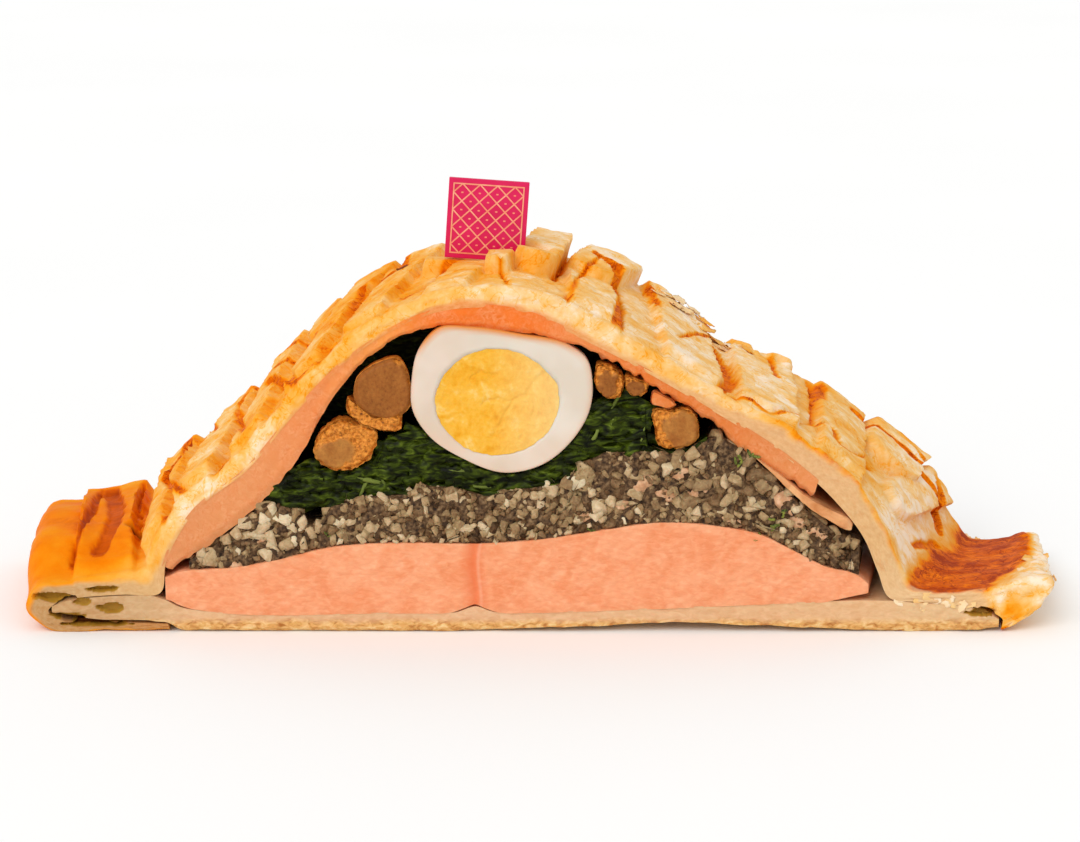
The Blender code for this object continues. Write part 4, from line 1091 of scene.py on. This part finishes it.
SALMON_CURL = [
    (58.6, 49.2), (62.6, 45.4), (66.8, 41.2), (71.6, 36.6), (77.6, 32.4), (84.4, 29.8),
    (84.2, 31.4), (77.8, 35.2), (71.0, 39.8), (64.6, 45.2),
]
CURL_DEPTH = 24.0

lid_line = smooth_curve(LID_SECTION, LID_POINTS)
roof = lid_line[:, 2:4]
roof = roof[(roof[:, 1] > LINING_FIRST_Z) & (roof[:, 0] < LINING_LAST_X)]
lining_upper = roof + slope_of(roof)[:, ::-1] * (-1.0, 1.0) * TOUCH * 3.0
lining_lower = smooth_curve(LINING_INNER, len(lining_upper))


def lining_carve(along, x, z, share):
    spot = pairs(along, share * 5.0)
    lip = 0.9 * smoothstep((0.25 - share) / 0.25)
    wave = 0.3 * smooth_noise(spot, (9.0, 1.6), 101) + 0.15 * smooth_noise(spot, (2.0, 1.0), 102)
    return 0.58 + wave * (1.0 - 0.4 * share) + lip


def lining_under(x, y):
    """The lining's lower side is frayed, and hangs lower over the egg and at the right."""
    spot = pairs(x, y)
    frayed = 0.75 + 0.9 * smoothstep((x - 8.0) / 8.0) - 0.5 * smoothstep(1.0 - np.abs(x + 12) / 24.0)
    hung = 1.3 * smoothstep(2.0 - np.abs(x + 9.0) / 12.0) \
        + 1.8 * smoothstep((x - 46.0) / 10.0) * smoothstep((79.0 - x) / 9.0)
    return frayed * (0.7 * smooth_noise(spot, 3.4, 103) + 0.6 * smooth_noise(spot, 1.5, 104)) - hung


lining = make_layer("sliced_salmon_lining", lining_upper, lining_lower, through(20), lining_carve,
                    under=lining_under, under_ys=through(36), shares=np.linspace(0.0, 1.0, 15))

# Sliced salmon baked in butter: moist and slightly see-through, peach to orange red, paler where
# a loose slice dried out.
sliced, add, at = new_material("baked_salmon_slice", roughness=0.5, specular_ior_level=0.04,
                               subsurface_weight=0.15, subsurface_scale=0.003)
loose = add("Attribute", attribute_name="tone")
split = add("SeparateXYZ", at).node.outputs
across = add("MapRange", split["X"], -100 * MM, 80 * MM)
clouds = add("TexNoise", at, Scale=1 / (5 * MM), Detail=4.0, Distortion=1.0)
fibres = add("TexNoise", at, Scale=1 / (1.5 * MM), Detail=4.0, Distortion=1.5)
by_place = add("ValToRGB", across, stops=[(0.0, "#D98C58"), (1.0, "#E29058"), (0.12, "#E0925C"),
                                          (0.22, "#E6894E"), (0.32, "#EC9444"), (0.4, "#EE7426"),
                                          (0.55, "#EC7426"), (0.62, "#E88A4C"), (0.7, "#DE742C"),
                                          (0.85, "#D87A3C"), (0.92, "#DA864C")])
streaks = add("ValToRGB", fibres, stops=[(0.3, "#D4682A"), (0.7, "#F4B888")])
spread = add("MapRange", clouds, 0.35, 0.75, 0.05, 0.45)
both = add("Mix", spread, by_place, streaks)
dry = add("ValToRGB", clouds, stops=[(0.35, "#BD7A48"), (0.7, "#EDB882")])
dried = add("Mix", loose, both, dry)
dress(sliced, dried, fibres, 0.35, 0.3)
finish_piece(lining, sliced, "lining", "salmon_lining")
for where, side in SIDES.items():
    flake = make_chunk("salmon_flake_cut_" + where, SALMON_FLAKE, side, PIECE_DEPTH / 2,
                       ((33.0, 65.0), (9.0, 9.0), 0.0), 0.25, 0.1)
    finish_piece(flake, sliced, "lining", "salmon_flake_" + where)
    curl = make_chunk("salmon_curl_cut_" + where, SALMON_CURL, side, CURL_DEPTH,
                      ((70.0, 40.0), (40.0, 40.0), 0.0), 0.45, 0.75, points=200)
    finish_piece(curl, sliced, "lining", "salmon_curl_" + where)

# ------------------------------------------------------------------------------------------------
# The pastry lid: puff pastry under strips of the same, brushed with egg. It is pale gold where
# it stands up and deep orange in the gaps between strips, partly where the wash browned and partly
# painted light on the strips and painted shade in the gaps, and brown on the right rim where the
# egg ran together. The knife left its edge flaky and pale.
STRIPS = [      # how far along the lid and at which y both ends are, then width and height
    (68.0, -40.0, 68.0, 40.0, 17.0, 2.4), (86.0, -40.0, 98.0, 40.0, 12.0, 3.0),
    (104.0, -40.0, 121.0, 40.0, 13.0, 3.6), (124.0, -40.0, 143.0, 40.0, 13.0, 3.2),
    (146.0, -40.0, 176.0, 40.0, 13.0, 3.2), (169.0, -40.0, 190.0, 40.0, 12.0, 2.8),
    (193.0, -40.0, 206.0, 8.0, 11.0, 2.0), (209.0, -13.0, 210.5, -5.0, 7.0, 5.0),
    (219.0, -4.0, 224.0, 40.0, 11.0, 6.4), (238.0, -40.0, 236.0, 10.0, 16.0, 2.4),
    (236.0, 12.0, 243.0, 40.0, 16.0, 4.8), (269.0, -40.0, 261.0, 40.0, 18.0, 2.6),
    (292.0, -40.0, 287.0, 40.0, 18.0, 2.4), (316.0, -40.0, 312.0, 40.0, 16.0, 2.4),
    (336.0, -10.0, 345.0, 40.0, 12.0, 2.2), (155.0, 18.0, 157.0, 40.0, 11.0, 2.8),
    (329.0, 14.0, 329.0, 40.0, 15.0, 3.6),
]
STRIP_EDGE = 1.0        # how far the side of a strip slopes
LEFT_PUFF = 6.0         # how much the left rim is puffed up behind its front cut
GROOVES = [     # width, depth, then the places along it
    (1.8, 1.4, (64, 37), (63, 20), (62, 0), (59, -26)),
    (4.6, 1.1, (66, 34), (69.5, 8), (69.5, -6), (66.5, -23)),
    (1.6, 2.6, (76, 38), (75, 20), (76, -16)),
    (1.8, 1.2, (96, -22), (92, -34)),
    (3.6, 1.5, (101, 36), (98, 18), (92, 11)), (2.0, 1.3, (92, 11), (98, -14), (104, -34)),
    (2.4, 1.4, (119, -12), (116, -26), (111, -36)),
    (4.4, 0.7, (124.0, -33), (124.2, -33)),
    (2.2, 1.2, (127, 33), (121, 27), (120, 14), (123, -9), (126, -24)),
    (1.0, 0.9, (125, 31), (134, 22), (147, 3)),
    (3.2, 1.5, (135, 8), (143, -16), (147, -30), (156, -32), (161, -28)),
    (2.6, 1.8, (165, -17), (168, 2), (171, 14)), (3.4, 1.6, (183, 14), (182, 24), (184, 36)),
    (3.4, 1.6, (184, -20), (191, -12), (199, 3)), (1.0, 0.9, (168, -4), (176, 8), (183, 14)),
    (1.2, 1.2, (210, -14), (213, -36)), (1.2, 1.4, (229, 24), (225, -10)),
    (3.6, 1.4, (236, 22), (242, 14), (245, -4), (244, -36)),
    (1.0, 0.8, (237, 20), (231, -6), (229, -32)), (1.0, 0.8, (262, -9), (268, 10), (273, 22)),
    (3.4, 1.3, (273, 22), (278, 3), (280, -16), (276, -36)),
    (4.0, 1.1, (302, 36), (305, 28), (305, 14)), (1.4, 0.9, (304, 14), (305, -14)),
    (1.6, 0.9, (278, -32), (286, -29), (292, -32), (297, -24), (305, -16)),
    (2.2, 0.9, (305, -14), (310, -11), (313, -22), (319, -17), (326, -5)),
    (1.4, 0.8, (320, 36), (329, 33), (337, 28)), (2.6, 0.9, (340, 36), (346, 26), (352, 18)),
    (2.6, 0.8, (316, 27), (330, 24), (344, 22), (353, 15)), (2.0, 0.8, (349, -14), (355, 7)),
    (1.6, 1.0, (84, 38), (88, 20)), (1.8, 1.1, (108, 30), (112, 12)),
    (1.6, 1.0, (140, 34), (150, 18)), (1.8, 1.1, (196, 36), (203, 22)),
    (1.6, 1.0, (252, 34), (256, 12)), (1.4, 0.8, (290, 34), (292, 8)),
]
HOLES = [(166, -16, 2.0), (182, 22, 2.2), (75, -10, 1.4)]      # along, y, radius
TAN = [     # how brown the lid is along its length, from 0 to 1
    (0, 0.5), (30, 0.62), (38, 0.72), (54, 0.7), (60, 0.77), (72, 0.77), (79, 0.62), (84, 0.5),
    (98, 0.46), (112, 0.34), (128, 0.46), (140, 0.48), (165, 0.46), (182, 0.44), (197, 0.36),
    (213, 0.27), (235, 0.27), (252, 0.2), (264, 0.14), (285, 0.26), (300, 0.23), (312, 0.33),
    (324, 0.3), (336, 0.08), (350, 0.1), (358, 0.4), (374, 0.6), (386, 0.16), (396, 0.0),
    (404, 0.12), (414, 0.4),
]
EDGE_TAN = [    # and close to its cuts
    (0, 0.45), (50, 0.6), (66, 0.58), (78, 0.42), (92, 0.2), (128, 0.12), (150, 0.34),
    (182, 0.34), (215, 0.26), (250, 0.24), (300, 0.34), (330, 0.36), (345, 0.24), (372, 0.46),
    (384, 0.08), (400, 0.0), (407, 0.16), (414, 0.42),
]
ROUNDED = [     # how far the lid's edge is rounded off at its cuts
    (0, 1.0), (50, 1.6), (75, 1.6), (95, 2.8), (240, 2.8), (290, 1.4), (350, 1.2), (372, 1.6),
    (414, 2.4),
]
CREAM_SHARE = [     # how much of the thickness of the cut, from the inside, is pale
    (0, 0.86), (60, 0.88), (82, 0.6), (96, 0.14), (180, 0.22), (195, 0.4), (225, 0.3), (262, 0.3),
    (285, 0.65), (310, 0.95), (376, 0.95), (388, -0.2), (414, -0.2),
]
PLAQUE_SIZE = (22.4, 1.2, 22.6)
PLAQUE_FOOT = (-15.6, 1.5, 97.6)
PLAQUE_TILT = math.radians(4.0)
SEAT_MARGIN, SEAT_REACH = 2.5, 4.0


def distance_to(along, y, start, end):
    """How far places on the lid are from a line over it."""
    run_along, run_y = end[0] - start[0], end[1] - start[1]
    part = (along - start[0]) * run_along + (y - start[1]) * run_y
    part = np.clip(part / (run_along ** 2 + run_y ** 2), 0.0, 1.0)
    return np.hypot(along - start[0] - run_along * part, y - start[1] - run_y * part)


def strip_fields(along, y):
    """How high the strips stand, and how near the edge of a strip is, from 0 to 1."""
    spot = pairs(along, y)
    wobble = 0.45 * smooth_noise(spot, 6.0, 111) + 0.2 * smooth_noise(spot, 1.8, 112)
    height = np.zeros(spot.shape[:-1])
    rim = np.zeros(spot.shape[:-1])
    for start, start_y, end, end_y, width, thickness in STRIPS:
        away = distance_to(along, y, (start, start_y), (end, end_y)) + wobble
        raised = thickness * smoothstep((width / 2 - away) / STRIP_EDGE + 0.5)
        rim = np.where(raised > height, smoothstep(1.0 - np.abs(width / 2 - 0.4 - away) / 1.1), rim)
        height = np.maximum(height, raised)
    fade = 0.3 + 0.7 * smoothstep((y + 34.0) / 6.0)
    return height * fade, rim * fade


def groove_depth(along, y, soften=0.0):
    """How deep the gaps between the strips are, or with soften how near one is, from 0 to 1."""
    spot = pairs(along, y)
    wobble = 0.35 * smooth_noise(spot, 4.0, 113) + 0.15 * smooth_noise(spot, 1.5, 114)
    total = np.zeros(spot.shape[:-1])
    for width, depth, *path in GROOVES:
        for start, end in zip(path, path[1:]):
            away = distance_to(along, y, start, end) + wobble
            if soften:
                total = np.maximum(total, smoothstep((width / 2 + soften - away) / (soften * 1.6)))
            else:
                total = np.maximum(total, depth * smoothstep((width / 2 - away) / 0.9 + 0.5))
    return total * smoothstep((HALF_DEPTH - 0.8 - np.abs(y)) / 5.0)


def hole_at(along, y):
    """Where the crust has a hole, from 0 to 1; the material paints it dark as shade."""
    total = 0.0
    for hole_along, hole_y, radius in HOLES:
        away = np.hypot(along - hole_along, (y - hole_y) * 0.7)
        total = np.maximum(total, smoothstep((radius - away) / 1.4 + 0.5))
    return total


def glaze_at(along, y):
    """Where the egg wash ran together and baked brown, on the right rim."""
    spot = pairs(along, y)
    edge = 1.6 * smooth_noise(spot, 9.0, 115) + 1.0 * smooth_noise(spot, 2.5, 116)
    inner = 353.0 + 4.0 * smoothstep((y + 12.0) / 30.0)
    outer = 378.0 + 13.0 * smoothstep((y + 34.0) / 34.0)
    inside = np.minimum(along - inner, outer - along) + edge
    return smoothstep(inside / 5.0 + 0.5)


lid_outer, lid_inner = lid_line[:, 0:2], lid_line[:, 2:4]
lid_slope = slope_of(lid_outer)
lid_length = run_of(lid_outer)
lid_thickness = np.linalg.norm(lid_outer - lid_inner, axis=1)


def left_puff(x, z, y):
    """How much higher the left rim stands at a place behind the front cut."""
    side = 0.45 * smoothstep((-x - 106.0) / 8.0) + 0.55 * smoothstep((-x - 122.0) / 8.0)
    rise = smoothstep((y + HALF_DEPTH) / 22.0) * (1.0 - 0.8 * smoothstep((y - 5.0) / 30.0))
    return LEFT_PUFF * side * rise * smoothstep((z - 3.0) / 6.0)


def lid_lift(along, y):
    """How high the crust stands: strips and gaps, blisters, and the plaque's level seat."""
    spot = pairs(along, y)
    raised = strip_fields(along, y)[0] - groove_depth(along, y) - 2.2 * hole_at(along, y)
    rough = smoothstep((along - 76.0) / 8.0) * smoothstep((352.0 - along) / 8.0)
    raised = raised + 0.4 * smooth_noise(spot, 9.0, 117)
    raised = raised + (0.12 + 0.14 * rough) * smooth_noise(spot, 3.0, 118)
    raised = raised + (0.04 + 0.08 * rough) * smooth_noise(spot, 1.3, 119)
    flaky = smoothstep((along - 250.0) / 6.0) * smoothstep((300.0 - along) / 6.0)
    raised = raised + flaky * smoothstep((y - 24.0) / 8.0) * 1.1 * smooth_noise(spot, 2.2, 120)
    torn = smoothstep((along - 384.0) / 6.0)
    raised = raised + torn * (0.7 * smooth_noise(spot, 3.4, 123) + 0.4 * smooth_noise(spot, 1.5, 124))
    x = lid_outer[:, 0]
    raised = np.maximum(raised, -0.5 * np.interp(along, lid_length, lid_thickness))
    beside = np.abs(x - PLAQUE_FOOT[0]) - PLAQUE_SIZE[0] / 2
    away = np.maximum(beside, abs(y - PLAQUE_FOOT[1])) - SEAT_MARGIN
    seat = smoothstep(1.0 - np.maximum(away, 0.0) / SEAT_REACH)
    seat_z = PLAQUE_FOOT[2] - (x - PLAQUE_FOOT[0]) * math.tan(PLAQUE_TILT) - GAP
    level = (seat_z - lid_outer[:, 1]) / np.maximum(lid_slope[:, 0], 0.5)
    return raised + (level - raised) * seat


def lid_carve(along, x, z, share):
    """The lid's cut is in leaves, and its outer edge is rounded off."""
    spot = pairs(along, share * 5.0)
    crisp = 1.0 + 0.9 * smoothstep((along - 90.0) / 20.0) + 1.0 * smoothstep((along - 255.0) / 30.0)
    leaves = 0.16 * smooth_noise(spot, (6.0, 0.9), 121) + 0.1 * smooth_noise(spot, (1.8, 0.6), 122)
    leaves = leaves * crisp * smoothstep(share / 0.2)
    radius = np.interp(along, *np.array(ROUNDED).T)
    thick = np.interp(along, lid_length, lid_thickness)
    corner = np.clip(1.0 - (1.0 - share) * thick / radius, 0.0, 1.0)
    return 0.55 + leaves + radius * (1.0 - np.sqrt(1.0 - 0.998 * corner ** 2)) + pocket_depth(x, z)


def lid_values(along, y, share, x, z):
    """How brown and how pale inside each point is, and the depth of a pocket at it."""
    spot = pairs(along, y)
    height, rim = strip_fields(along, y)
    near_cut = smoothstep((np.abs(y) - 27.0 + 3.0 * smooth_noise(spot, 7.0, 136)) / 8.0)
    brown = np.interp(along, *np.array(TAN).T) * (1.0 - near_cut) \
        + np.interp(along, *np.array(EDGE_TAN).T) * near_cut
    even = smoothstep((78.0 - along) / 6.0)
    brown = brown + (1.0 - 0.6 * even) * (0.14 * smooth_noise(spot, 8.0, 131)
                                          + 0.1 * smooth_noise(spot, 3.2, 132))
    # The strips' raised tops are a little paler, as painted light, and the gaps between them deep
    # orange, partly the wash browned there and partly painted shade.
    brown = brown + 0.09 * rim * (1.0 - even) - 0.03 * np.minimum(height, 2.0)
    groove = groove_depth(along, y, soften=0.45)
    deep = 0.8 + 0.12 * even + 0.05 * smooth_noise(spot, 4.0, 133)
    brown = brown + (deep - brown) * groove
    glaze = glaze_at(along, y)
    burnt = 0.7 + 0.17 * smoothstep((glaze - 0.4) / 0.5) + 0.09 * smooth_noise(spot, (9.0, 4.0), 134)
    brown = brown + (burnt - brown) * glaze * smoothstep((share - 0.7) / 0.2)
    on_cut = (share < 0.999).astype(float)
    seam = on_cut * smoothstep((share - 0.72) / 0.14) * smoothstep((along - 285.0) / 20.0)
    brown = brown + seam * 0.25 * smoothstep((352.0 - along) / 8.0)
    nose = on_cut * smoothstep((along - 378.0) / 8.0)
    blistered = 0.4 * smoothstep((0.75 - share) / 0.7) + 0.26 * smooth_noise(pairs(x, z), 3.0, 137)
    brown = brown + nose * blistered
    cream = np.interp(along, *np.array(CREAM_SHARE).T)
    ragged = 0.1 * smooth_noise(pairs(along, share * 5.0), (3.0, 1.0), 135)
    pale = on_cut * smoothstep((cream + ragged - share) / 0.3 + 0.3)
    return {"brown": np.clip(brown, 0.0, 1.0), "pale": pale, "hole": hole_at(along, y),
            "pocket": pocket_depth(x, z) * on_cut}


lid = make_layer("glazed_lid", lid_outer, lid_inner, through(126), lid_carve, lift=lid_lift,
                 rise=left_puff, under_ys=through(6), values=lid_values,
                 shares=1.0 - (1.0 - np.linspace(0.0, 1.0, 15)) ** 1.35)

# Egg-washed puff pastry: satin, pale gold to orange by how long each place browned and partly by
# painted shade in its gaps, holes and blown pockets, with fine wrinkles in the wash. Its cut is
# pale and buttery, in thin leaves.
crust, add, at = new_material("egg_washed_puff_pastry", roughness=0.5, specular_ior_level=0.02,
                              subsurface_weight=0.04, subsurface_scale=0.003)
field = {name: add("Attribute", attribute_name=name)
         for name in ("brown", "pale", "hole", "pocket", "share", "along")}
mottle = add("TexNoise", at, Scale=1 / (2.2 * MM), Detail=6.0, Roughness=0.65, Distortion=0.8)
patches = add("TexNoise", at, Scale=1 / (7 * MM), Detail=3.0, Roughness=0.6, Distortion=2.0)
spread = add("MapRange", field["along"], 72.0, 86.0, 0.14, 0.42)
fine = add("Math", mottle, 0.5, operation="SUBTRACT")
broad = add("Math", patches, 0.5, operation="SUBTRACT")
noise = add("Math", fine, broad, operation="ADD")
uneven = add("Math", noise, spread, field["brown"], operation="MULTIPLY_ADD")
wander = add("TexNoise", at, Scale=1 / (10 * MM), Detail=4.0, Roughness=0.6, Distortion=1.2)
off_vein = add("Math", wander, 0.5, operation="SUBTRACT")
from_vein = add("Math", off_vein, operation="ABSOLUTE")
veins = add("MapRange", from_vein, 0.0, 0.018, 0.5, 0.0)
vein_share = add("MapRange", field["along"], 76.0, 100.0, 0.0, 0.42)
browning = add("Math", veins, vein_share, uneven, operation="MULTIPLY_ADD")
top = add("ValToRGB", browning, stops=[(0.0, "#F6E0C4"), (1.0, "#9E3400"), (0.12, "#F3CE98"),
                                       (0.26, "#F1BB6A"), (0.4, "#F0AB48"), (0.5, "#F0A02C"),
                                       (0.6, "#EF9212"), (0.74, "#EC7C00"), (0.87, "#CE5800")])
leaf_place = add("CombineXYZ", field["along"], field["share"])
leaf_map = add("Mapping", leaf_place, Scale=(0.5, 6.0, 1.0))
leaves = add("TexNoise", leaf_map, Scale=1.0, Detail=5.0, Roughness=0.65)
flaky = add("ValToRGB", leaves, stops=[(0.32, "#B87434"), (0.72, "#F7DCAE")])
lengthwise = add("MapRange", field["along"], 0.0, 414.0)
warm_tint = add("ValToRGB", lengthwise, stops=[(0.0, "#B87838"), (1.0, "#E6B06C"), (0.07, "#B2804A"),
                                             (0.13, "#BE9462"), (0.19, "#D8AC74"),
                                             (0.24, "#E09A5A"), (0.34, "#E8924A"),
                                             (0.46, "#EB8C42"), (0.55, "#E99350"),
                                             (0.62, "#E4A868"), (0.75, "#E0AE7A"),
                                             (0.82, "#DAAC74"), (0.87, "#E4BF90")])
crumb = add("Mix", 0.25, warm_tint, flaky)
# As in the base, the blown pockets of the cut are painted olive, dark brown where deepest, as shade.
shade = add("MapRange", field["pocket"], 2.4, 3.6)
pocket_shade = add("Mix", shade, "#B0822C", "#5C2E10")
hollow = add("MapRange", field["pocket"], 0.15, 0.6)
blown = add("Mix", hollow, crumb, pocket_shade)
crumb_or_top = add("Mix", field["pale"], top, blown)
# Holes in the crust are painted dark brown as shade.
holed = add("Mix", field["hole"], crumb_or_top, "#6A2A06")
wrinkle = add("TexNoise", at, Scale=1 / (1.3 * MM), Detail=5.0, Distortion=1.5)
dress(crust, holed, wrinkle, 0.4, 0.3)
finish_piece(lid, crust, "crust", "pastry_lid")

# Loose flakes of the same crust: along its back edge on the right slope, on the torn nose, and
# where the lid lifted off the base at the right foot.
FLAKE_GROUPS = [    # first and last place along the lid, first and last y, count, size, height
    (254.0, 288.0, 24.0, 32.0, 13, 8.0, 0.2), (256.0, 280.0, 29.0, 33.5, 7, 6.0, 0.6),
    (386.0, 400.0, -30.0, 10.0, 8, 5.0, 0.1),
]
SEAM_FLAKES = [(101.5, 7.6), (104.0, 8.8), (106.0, 7.2), (108.5, 8.6), (110.5, 7.4), (113.0, 8.4),
               (115.5, 7.0), (118.0, 8.0), (99.0, 8.6), (112.0, 9.6), (107.0, 9.8)]
crust_shapes = sheet_shapes(9, 10, 8, 0.05, 0.07, 0.05, draw)
centres, sizes, turns, tans = [], [], [], []
for first, last, near, far, count, size, height in FLAKE_GROUPS:
    for number in range(count):
        spot = draw.uniform(first, last)
        y = draw.uniform(near, far)
        here = np.stack([np.interp(spot, lid_length, lid_outer[:, i]) for i in (0, 1)])
        slope = np.stack([np.interp(spot, lid_length, lid_slope[:, i]) for i in (0, 1)])
        up = np.array([-slope[1], slope[0]])
        lift = np.interp(spot, lid_length, lid_lift(lid_length, y)) + draw.uniform(0.0, height)
        here = here + up * lift
        centres.append(place(here[0], here[1], y) / MM)
        flat = np.array([[slope[0], up[0], 0.0], [0.0, 0.0, 1.0], [slope[1], up[1], 0.0]])
        turns.append(flat @ random_turns(1, draw, 0.06, [draw.uniform(-1.5, 1.5)])[0])
        sizes.append(np.array([1.0, 0.7, 0.6]) * size * draw.uniform(0.5, 1.0))
        tans.append(np.clip(draw.normal(0.2, 0.1), 0.0, 0.5))
for side in SIDES.values():
    for x, z in SEAM_FLAKES:
        centres.append(behind(side, 0.6, x, z))
        turns.append(random_turns(1, draw, 0.2, [draw.uniform(-0.9, 0.9)])[0])
        sizes.append(np.array([4.4, 4.0, 2.6]) * draw.uniform(0.7, 1.0))
        tans.append(draw.uniform(0.0, 0.2))
loose_flakes = join_copies("crust_flakes", crust_shapes, centres, sizes, turns, {"brown": tans})
finish_piece(loose_flakes, crust, "crust")

# ------------------------------------------------------------------------------------------------
# The plaque: a thin card standing on the crown, deep pink with a rose gold lattice of lozenges,
# each with a dot in it, stamped on both faces.
FOIL_CELLS = 8          # cells of the lattice along a side
FOIL_CELL = 2.44        # and their size, in millimetres
FOIL_DOT = 0.12         # half the length of the short line that a dot is
FOIL_LINE = 0.36        # width of a line
FOIL_RAISED = 0.06      # how far it stands off the card

bpy.ops.object.select_all(action="DESELECT")
bpy.ops.mesh.primitive_cube_add(size=1.0)
plaque = bpy.context.object
plaque.name = "pink_card"
plaque.scale = [s * MM for s in PLAQUE_SIZE]
bpy.ops.object.transform_apply(location=False, rotation=False, scale=True)
edge = plaque.modifiers.new("edge", "BEVEL")
edge.width = 0.2 * MM
edge.segments = 2
bpy.ops.object.modifier_apply(modifier="edge")

# Glossy card: deep pink, with soft lighter patches of painted sheen.
card, add, at = new_material("glossy_pink_card", roughness=0.3, specular_ior_level=0.3)
sheen = add("TexNoise", at, Scale=1 / (8 * MM))
tint = add("ValToRGB", sheen, stops=[(0.3, "#CF0A4E"), (0.7, "#DB1459")])
dress(card, tint)

# Stamped foil: thin rose gold, half metal, brushed by the press.
foil_finish, add, at = new_material("rose_gold_foil", roughness=0.35, metallic=0.3)
brushed = add("TexNoise", at, Scale=1 / (2 * MM))
tint = add("ValToRGB", brushed, stops=[(0.3, "#EE8F68"), (0.7, "#F8B08C")])
dress(foil_finish, tint)

bars = []       # both ends of each foil line on a face, in millimetres, and its level
half = FOIL_CELLS * FOIL_CELL / 2
for step in range(1 - FOIL_CELLS, FOIL_CELLS, 2):
    near, far = max(0, step), min(FOIL_CELLS, FOIL_CELLS + step)
    ends = np.array([(near, near - step), (far, far - step)]) * FOIL_CELL - half
    bars += [(*ends, 0), (*(ends * (1, -1)), 1)]
for row in range(1, FOIL_CELLS):
    for column in range(2 - row % 2, FOIL_CELLS, 2):
        dot = np.array([column, row]) * FOIL_CELL - half
        bars.append((dot - (FOIL_DOT, 0.0), dot + (FOIL_DOT, 0.0), 0))
for side in (-half, half):
    bars += [(np.array([-half, side]), np.array([half, side]), 2),
             (np.array([side, -half]), np.array([side, half]), 3)]
points, faces = [], []
for face in (-1.0, 1.0):
    for start, end, level in bars:
        run = (end - start) / np.linalg.norm(end - start) * FOIL_LINE / 2
        beside = np.array([-run[1], run[0]])
        corners = [start - run + beside, end + run + beside, end + run - beside,
                   start - run - beside]
        first = len(points)
        for depth in (-0.02, FOIL_RAISED + 0.03 * level):
            depth = face * (PLAQUE_SIZE[1] / 2 + depth)
            points += [(corner[0] * MM, depth * MM, corner[1] * MM) for corner in corners]
        faces += [(first, first + 1, first + 2, first + 3),
                  (first + 4, first + 7, first + 6, first + 5)]
        faces += [(first + i, first + 4 + i, first + 4 + (i + 1) % 4, first + (i + 1) % 4)
                  for i in range(4)]
foil = make_mesh("rose_gold_foil_pattern", points, faces, smooth=False)
for stamped in (plaque, foil):
    select_only(stamped)
    stamped.location = (0.0, 0.0, PLAQUE_SIZE[2] / 2 * MM)
    bpy.ops.object.transform_apply(location=True, rotation=False, scale=False)
    stamped.rotation_euler = (0.0, PLAQUE_TILT, 0.0)
    stamped.location = [s * MM for s in PLAQUE_FOOT]
    bpy.ops.object.transform_apply(location=True, rotation=True, scale=False)
finish_piece(plaque, card, "plaque", "plaque")
finish_piece(foil, foil_finish, "plaque")
